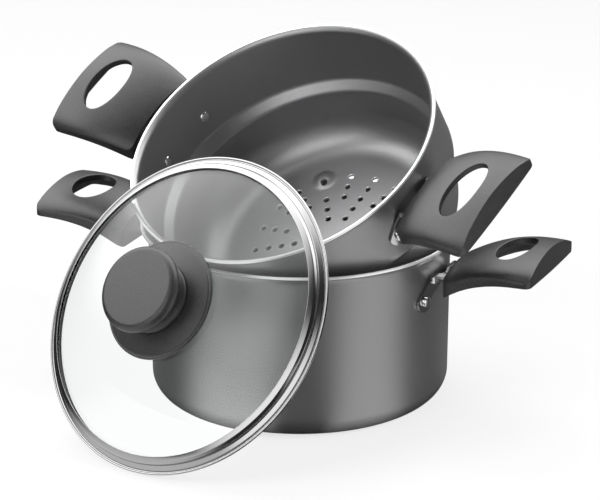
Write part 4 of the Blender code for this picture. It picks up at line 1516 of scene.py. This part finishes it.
@dataclass
class GlassLid:
    """The domed glass lid with its rolled rim and knob.

    The tables are in millimetres from the edge that each belongs to: the ring's lip with its
    bead and groove, the pocket for the glass, the guard's edge and foot, the knob's foot and
    the underside of its cap, and the face of the screw's head.
    """

    shop: Workshop
    place: Matrix
    outer_radius: float = 96.2 * MM
    lip: float = 1.2 * MM
    lip_face: tuple[Point, ...] = (
        (-0.5, -1.2), (0.0, -0.6), (-0.4, 0.1), (-1.2, 0.1), (-1.5, -0.8), (-2.2, -0.8), (-2.5, 0.2))
    cone_foot: Point = (0.2 * MM, 1.5 * MM)
    shoulder_rise: float = 1.5 * MM
    pocket: tuple[Point, ...] = ((-0.8, 0.75), (0.0, 0.0))
    ring_soft: float = 0.45 * MM
    skirt_radius: float = 88.7 * MM
    skirt_depth: float = 3.2 * MM
    skirt_wall: float = 0.9 * MM
    cover_inner: float = 86.8 * MM
    band_wall: float = 0.9 * MM
    cover_wall: float = 0.8 * MM
    cover_play: float = 0.1 * MM
    play: float = 0.35 * MM
    glass_radius: float = 89.6 * MM
    glass: float = 4.0 * MM
    glass_steps: int = 40
    glass_soft: float = 0.9 * MM
    glass_edge_in: float = 0.7 * MM
    glass_bore_gap: float = 0.8 * MM
    dome: float = 28.5 * MM
    glass_edge: float = 3.4 * MM
    knob_top: float = 50.5 * MM
    knob_radius: float = 25.5 * MM
    cap_height: float = 7.2 * MM
    cap_round: float = 4.0 * MM
    cap_under: tuple[Point, ...] = ((-3.0, 0.0), (-0.8, 0.6), (0.0, 1.8))
    knob_soft: float = 0.9 * MM
    neck_radius: float = 17.5 * MM
    neck_foot: float = 4.4 * MM
    neck_top: float = 1.2 * MM
    foot_radius: float = 21.5 * MM
    foot_round: tuple[Point, ...] = ((0.0, 0.0), (0.0, 1.8), (-0.8, 2.6))
    guard_radius: float = 35.5 * MM
    guard_edge: float = 2.2 * MM
    guard_rise: float = 3.4 * MM
    guard_round: tuple[Point, ...] = ((0.0, -0.6), (-0.5, 0.0), (-1.6, 0.0), (-1.9, 0.5))
    guard_steps: Point3 = (0.25, 0.5, 0.75)
    guard_low: Point = (0.8 * MM, 0.5 * MM)
    guard_foot: tuple[Point, ...] = ((3.0, -0.9), (0.0, 0.0))
    guard_soft: float = 0.5 * MM
    bore: float = 2.9 * MM
    screw_radius: float = 2.4 * MM
    screw_face: tuple[Point, ...] = (
        (0.0, -1.4), (1.2, -1.4), (1.3, -2.4), (2.76, -2.3), (4.6, -1.1), (4.6, 0.0))
    screw_grip: float = 12.0 * MM
    washer_radius: float = 9.0 * MM
    washer: float = 1.4 * MM
    gasket: float = 1.6 * MM
    seal_in: float = 1.0 * MM
    seal_gap: float = 0.3 * MM
    fitting_soft: float = 0.3 * MM
    sharp: float = 42.0

    def skin(self, radius: float, apex: float, edge: float) -> float:
        """Height of a spherical skin at a radius.

        Args:
            radius: The radius.
            apex: The skin's height on the axis.
            edge: Its height at the glass's edge.

        Returns:
            The height.
        """
        rise = apex - edge
        ball = (self.glass_radius ** 2 + rise ** 2) / (2.0 * rise)
        return apex - ball + math.sqrt(ball ** 2 - radius ** 2)

    def outer_skin(self, radius: float) -> float:
        """Height of the glass's outside at a radius."""
        return self.skin(radius, self.dome, self.glass_edge)

    def seat(self, radius: float) -> float:
        """Height just above the glass, where the knob's guard rests."""
        return self.outer_skin(radius) + GAP

    @property
    def guard_top(self) -> float:
        """Height of the guard's middle."""
        return self.seat(self.guard_radius) + self.guard_edge + self.guard_rise

    def glass_profile(self) -> Profile:
        """Section of the glass with its screw bore.

        Returns:
            The section's points.
        """
        low_edge = self.glass_edge - self.glass + self.glass_edge_in
        bore = self.screw_radius + self.glass_bore_gap
        outer = []
        inner = []
        for i in range(self.glass_steps + 1):
            radius = bore + (self.glass_radius - bore) * i / self.glass_steps
            outer.append((radius, self.outer_skin(radius)))
            inner.append((radius, self.skin(radius, self.dome - self.glass, low_edge)))
        return rounded(inner + list(reversed(outer)), self.glass_soft, steps=4, sharpest=30.0)

    def rim_profile(self) -> Profile:
        """Section of the rolled rim: skirt, lip with bead and groove, cone, and cover on the glass.

        Returns:
            The section's points.
        """
        edge = self.glass_radius + self.play
        band = edge + self.band_wall
        cover = self.outer_skin(self.cover_inner) + GAP + self.cover_play
        skirt_inner = self.skirt_radius - self.skirt_wall
        points = [
            (skirt_inner, -self.skirt_depth), (self.skirt_radius, -self.skirt_depth),
            (self.skirt_radius, -self.lip), *offsets((self.outer_radius, 0.0), self.lip_face),
            (band + self.cone_foot[0], self.cone_foot[1]), (band, self.glass_edge),
            (band - self.band_wall, self.glass_edge + self.shoulder_rise),
            (self.cover_inner, cover + self.cover_wall), (self.cover_inner, cover),
            *offsets((edge, self.glass_edge), self.pocket), (edge, -self.play), (skirt_inner, -self.play),
        ]
        return rounded(points, self.ring_soft, steps=5, sharpest=15.0)

    def guard_profile(self) -> Profile:
        """Section of the wide guard under the knob.

        Returns:
            The section's points.
        """
        rim = self.guard_radius
        low = self.seat(rim)
        middle = self.guard_top
        points = [(self.bore, self.seat(self.bore))]
        points += [(rim * share, self.seat(rim * share)) for share in self.guard_steps]
        flat = rim - self.guard_low[0]
        points += [(flat, self.seat(flat)), (rim, low + self.guard_low[1])]
        points += offsets((rim, low + self.guard_edge), self.guard_round)
        points += offsets((self.foot_radius, middle), self.guard_foot)
        return rounded(points + [(self.bore, middle)], self.guard_soft, sharpest=12.0)

    def grip_profile(self) -> Profile:
        """Section of the knob.

        Returns:
            The section's points.
        """
        foot = self.guard_top + GAP
        cap_low = self.knob_top - self.cap_height
        bore_end = foot + self.screw_grip + GAP
        top = self.knob_top
        cap_centre = (self.knob_radius - self.cap_round, top - self.cap_round)
        points = [(self.bore, foot)] + offsets((self.foot_radius, foot), self.foot_round)
        points += [(self.neck_radius, foot + self.neck_foot), (self.neck_radius, cap_low - self.neck_top)]
        points += offsets((self.knob_radius, cap_low), self.cap_under)
        points += arc(cap_centre, self.cap_round, 0.0, 90.0, 12)
        points += [(0.0, top), (0.0, bore_end), (self.bore, bore_end)]
        return rounded(points, self.knob_soft, steps=4, sharpest=14.0)

    def ring_profile(self, radius: float, top: float, thickness: float) -> Profile:
        """Section of a flat ring round the knob's screw.

        Args:
            radius: Its outer radius.
            top: Height of its upper face.
            thickness: Its thickness.

        Returns:
            The section's points.
        """
        hole = self.screw_radius + GAP
        points = [(hole, top - thickness), (radius, top - thickness), (radius, top), (hole, top)]
        return rounded(points, self.fitting_soft)

    def screw_profile(self, head_top: float) -> Profile:
        """Section of the knob's screw, its recess towards the inside of the lid.

        Args:
            head_top: Height of the head's upper face.

        Returns:
            The section's points.
        """
        end = self.guard_top + self.screw_grip
        points = offsets((0.0, head_top), self.screw_face)
        points += [(self.screw_radius, head_top), (self.screw_radius, end), (0.0, end)]
        return rounded(points, self.fitting_soft)

    def build(self) -> None:
        """Build and mount the lid."""
        palette = self.shop.palette
        gasket_top = self.dome - self.glass - self.seal_gap - GAP
        washer_top = gasket_top - self.gasket - GAP
        head_top = washer_top - self.washer - GAP
        seal = self.ring_profile(self.washer_radius - self.seal_in, gasket_top, self.gasket)
        washer = self.ring_profile(self.washer_radius, washer_top, self.washer)
        bolt = self.screw_profile(head_top)
        pieces = (
            ("lid_dome", "lid_glass", "tempered_glass", palette.glass, self.glass_profile(), 160),
            ("lid_ring", "lid_rim", "stainless_steel", palette.band, self.rim_profile(), 200),
            ("knob_disc", "knob_guard", "black_phenolic", palette.phenolic, self.guard_profile(), 128),
            ("knob_top", "knob_grip", "black_phenolic", palette.phenolic, self.grip_profile(), 128),
            ("knob_seal", "knob_gasket", "grey_silicone", palette.silicone, seal, 64),
            ("knob_plate", "knob_washer", "stainless_steel", palette.steel, washer, 64),
            ("knob_bolt", "knob_screw", "stainless_steel", palette.steel, bolt, 40),
        )
        for name, node, slot, material, profile, segments in pieces:
            mesh = self.shop.turn(profile, segments)
            self.shop.mount(name, mesh, self.place, "lid", slot, [node], [material], self.sharp)


# Studio

@dataclass(frozen=True)
class Glow:
    """A soft patch of light that only polished and glossy things see; its angles are in degrees."""

    way: Point3
    inner: float
    outer: float
    strength: float

    def add(self, tree: Tree, direction: Source) -> Node:
        """Add the patch to a tree.

        Args:
            tree: The tree that gets it.
            direction: Unit vector that it depends on.

        Returns:
            The node that gives its brightness.
        """
        toward = add_node(tree, VECTOR_MATH, {0: direction, 1: Vector(self.way).normalized()},
                          operation="DOT_PRODUCT")
        span = (math.cos(math.radians(self.outer)), math.cos(math.radians(self.inner)))
        return add_node(tree, RANGE, mapping(toward.outputs["Value"], span, (0.0, self.strength)),
                        interpolation_type="SMOOTHSTEP")


def with_glows(tree: Tree, direction: Source, base: Source | float, glows: tuple[Glow, ...]) -> Node:
    """Add up the brightness of a base and of patches of light.

    Args:
        tree: The tree.
        direction: Unit vector that the patches depend on.
        base: Brightness without them.
        glows: The patches, at least one.

    Returns:
        The node that gives the sum.
    """
    total = base
    for glow in glows:
        total = add_node(tree, MATH, {0: total, 1: glow.add(tree, direction)}, operation="ADD")
    return total


def ray_kinds(tree: Tree) -> tuple[Source, Node]:
    """Tell what kind of ray asks for the brightness.

    Args:
        tree: The tree.

    Returns:
        Whether it is a reflection, and whether it is the camera's own, also through glass.
    """
    kinds = add_node(tree, "ShaderNodeLightPath").outputs
    seen = add_node(tree, MATH, {0: kinds["Is Camera Ray"], 1: kinds["Is Transmission Ray"]},
                    operation="MAXIMUM")
    return kinds["Is Glossy Ray"], seen


@dataclass(frozen=True)
class Softbox:
    """A rectangular lamp that reflections don't see; what they see comes from the glows."""

    name: str
    place: Point3
    size: Point
    power: float

    def add(self, target: Vector) -> None:
        """Hang the lamp and point it at a target.

        Args:
            target: The target.
        """
        data = bpy.data.lights.new(self.name, "AREA")
        data.shape = "RECTANGLE"
        data.size, data.size_y = self.size
        data.energy = self.power
        lamp = new_object(self.name, data)
        lamp.visible_glossy = False
        lamp.visible_transmission = False
        lamp.location = self.place
        lamp.rotation_euler = (target - Vector(self.place)).to_track_quat("-Z", "Y").to_euler()


@dataclass
class Studio:
    """Pale floor, soft lamps and the camera at the photograph's angle."""

    focal_pixels: float = 3272.0
    image_width: int = 600
    sensor: float = 36.0
    camera_place: Point3 = (0.0, -1.853, 0.754)
    camera_down: float = 19.80
    farthest: float = 60.0
    floor_size: float = 30.0
    floor_drop: float = 0.2 * MM
    # painted: the level of the dim paper that reflections see, in place of the lit paper
    floor_glow: float = 0.06
    floor_clear: float = 0.72
    paper: str = "#f4f4f4"
    paper_roughness: float = 0.9
    pool_root: Point3 = (0.0, -0.055, 0.0)
    # painted shade: the paper that reflections see darkens towards the pot's foot
    foot_shade: Point = (0.080, 0.105)
    # painted pools of light on the paper, seen only in reflections
    pools: tuple[Glow, ...] = (
        Glow((0.82, -0.57, 0.0), 6.0, 36.0, 0.98),
        Glow((-0.83, -0.56, 0.0), 6.0, 40.0, 1.22),
        Glow((0.80, 0.60, 0.0), 4.0, 14.0, 0.10),
    )
    room_level: float = 0.18
    screen_behind: Point = (0.0, 0.45)
    screen_raised: Point = (0.08, 0.35)
    screen_levels: Point = (0.05, 0.85)
    room_glows: tuple[Glow, ...] = (
        Glow((-0.47, 0.34, 0.81), 12.0, 50.0, 3.2),
        Glow((-0.84, -0.09, 0.53), 6.0, 21.0, 2.9),
        Glow((-0.42, -0.86, 0.28), 10.0, 36.0, 2.4),
        Glow((0.53, 0.42, 0.73), 18.0, 42.0, 3.2),
    )
    lamp_target: Point3 = (0.0, 0.0, 0.09)
    lamps: tuple[Softbox, ...] = (
        Softbox("softbox right", (1.45, -0.70, 0.75), (0.6, 1.1), 30.0),
        Softbox("softbox left", (-1.20, -1.00, 1.15), (0.9, 0.9), 22.0),
        Softbox("softbox above", (-0.45, 0.45, 1.45), (1.2, 0.9), 14.0),
    )

    def build(self) -> None:
        """Make the whole studio."""
        self.add_camera()
        self.add_floor()
        self.add_world()
        for lamp in self.lamps:
            lamp.add(Vector(self.lamp_target))
        bpy.context.scene.view_settings.view_transform = "Standard"

    def add_camera(self) -> None:
        """Set the camera from the fitted view."""
        data = bpy.data.cameras.new("camera")
        data.sensor_width = self.sensor
        data.sensor_fit = "HORIZONTAL"
        data.lens = self.focal_pixels / self.image_width * self.sensor
        data.clip_end = self.farthest
        camera = new_object("camera", data)
        camera.location = self.camera_place
        camera.rotation_euler = (math.radians(90.0 - self.camera_down), 0.0, 0.0)
        bpy.context.scene.camera = camera

    def add_floor(self) -> None:
        """Lay a white floor that keeps a light shadow."""
        mesh = bpy.data.meshes.new("floor")
        bm = bmesh.new()
        bmesh.ops.create_grid(bm, x_segments=1, y_segments=1, size=self.floor_size / 2.0)
        bm.to_mesh(mesh)
        bm.free()
        mesh.materials.append(self.white_paper())
        floor = new_object("floor", mesh)
        floor.location = (0.0, 0.0, -self.floor_drop)

    def white_paper(self) -> Material:
        """Make the floor's paper: matt white, and partly its own light, so that it stays white.

        Returns:
            The material.
        """
        material = bpy.data.materials.new("white seamless paper")
        material.use_nodes = True
        tree = material.node_tree
        shader = tree.nodes["Principled BSDF"]
        shader.inputs["Base Color"].default_value = linear(self.paper)
        shader.inputs["Roughness"].default_value = self.paper_roughness
        reflected, seen = ray_kinds(tree)
        # camera rays see even white paper; reflections see only the painted dim paper and painted pools of
        # light
        glow = add_node(tree, MIX, {"Factor": seen, "A": self.add_pools(tree), "B": 1.0}, data_type="FLOAT")
        light = add_node(tree, "ShaderNodeEmission", {"Strength": glow})
        clear = add_node(tree, MATH, {0: seen, 1: self.floor_clear}, operation="MULTIPLY")
        share = add_node(tree, MATH, {0: reflected, 1: clear}, operation="MAXIMUM")
        mix = add_node(tree, "ShaderNodeMixShader", {0: share, 1: shader, 2: light})
        tree.links.new(mix.outputs[0], tree.nodes["Material Output"].inputs["Surface"])
        return material

    def add_pools(self, tree: Tree) -> Node:
        """Brightness that polished things see on the floor, painted into the paper's own light: painted dim
        paper with a painted pool of light on each side, faded by painted shade near the pot's foot.

        Args:
            tree: The paper's tree.

        Returns:
            The node that gives it.
        """
        place = add_node(tree, "ShaderNodeTexCoord").outputs["Object"]
        moved = add_node(tree, VECTOR_MATH, {0: place, 1: self.pool_root}, operation="SUBTRACT")
        way = add_node(tree, VECTOR_MATH, {0: moved}, operation="NORMALIZE")
        light = with_glows(tree, way, self.floor_glow, self.pools)
        # painted shade near the pot's foot: the painted light fades out towards the middle
        away = add_node(tree, VECTOR_MATH, {0: place}, operation="LENGTH")
        clear = add_node(tree, RANGE, mapping(away.outputs["Value"], self.foot_shade))
        return add_node(tree, MATH, {0: light, 1: clear}, operation="MULTIPLY")

    def add_world(self) -> None:
        """White behind the object, a dim room for the light on it."""
        world = bpy.data.worlds.new("studio")
        bpy.context.scene.world = world
        world.use_nodes = True
        tree = world.node_tree
        tree.nodes.clear()
        direction = add_node(tree, "ShaderNodeTexCoord").outputs["Generated"]
        parts = add_node(tree, "ShaderNodeSeparateXYZ", {"Vector": direction}).outputs
        behind = add_node(tree, RANGE, mapping(parts["Y"], self.screen_behind))
        raised = add_node(tree, RANGE, mapping(parts["Z"], self.screen_raised))
        screen = add_node(tree, MATH, {0: behind, 1: raised}, operation="MULTIPLY")
        backdrop = add_node(tree, RANGE, mapping(screen, levels=self.screen_levels))
        gloss = with_glows(tree, direction, backdrop, self.room_glows)
        reflected, seen = ray_kinds(tree)
        room = add_node(tree, MIX, {"Factor": reflected, "A": self.room_level, "B": gloss},
                        data_type="FLOAT")
        strength = add_node(tree, MIX, {"Factor": seen, "A": room, "B": 1.0}, data_type="FLOAT")
        back = add_node(tree, "ShaderNodeBackground", {"Color": (1.0, 1.0, 1.0, 1.0), "Strength": strength})
        add_node(tree, "ShaderNodeOutputWorld", {"Surface": back})


def corners(box: tuple[Vector, Vector]) -> list[list[float]]:
    """Turn a box into plain lists of numbers."""
    return [[float(value) for value in corner] for corner in box]


def main() -> None:
    """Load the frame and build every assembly."""
    logging.basicConfig(level=logging.INFO, format="%(name)s: %(message)s")
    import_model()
    Studio().build()
    shop = Workshop(Palette())
    CookingPot(shop, Matrix.Identity(4)).build()
    steamer_place = leaning((-11.29, -14.23, 161.05), heading=-128.5, lean=32.48, spin=87.3)
    SteamerInsert(shop, steamer_place).build()
    lid_place = leaning((-65.86, -90.78, 80.50), heading=-129.44, lean=55.9)
    GlassLid(shop, lid_place).build()


if __name__ == "__main__":
    main()
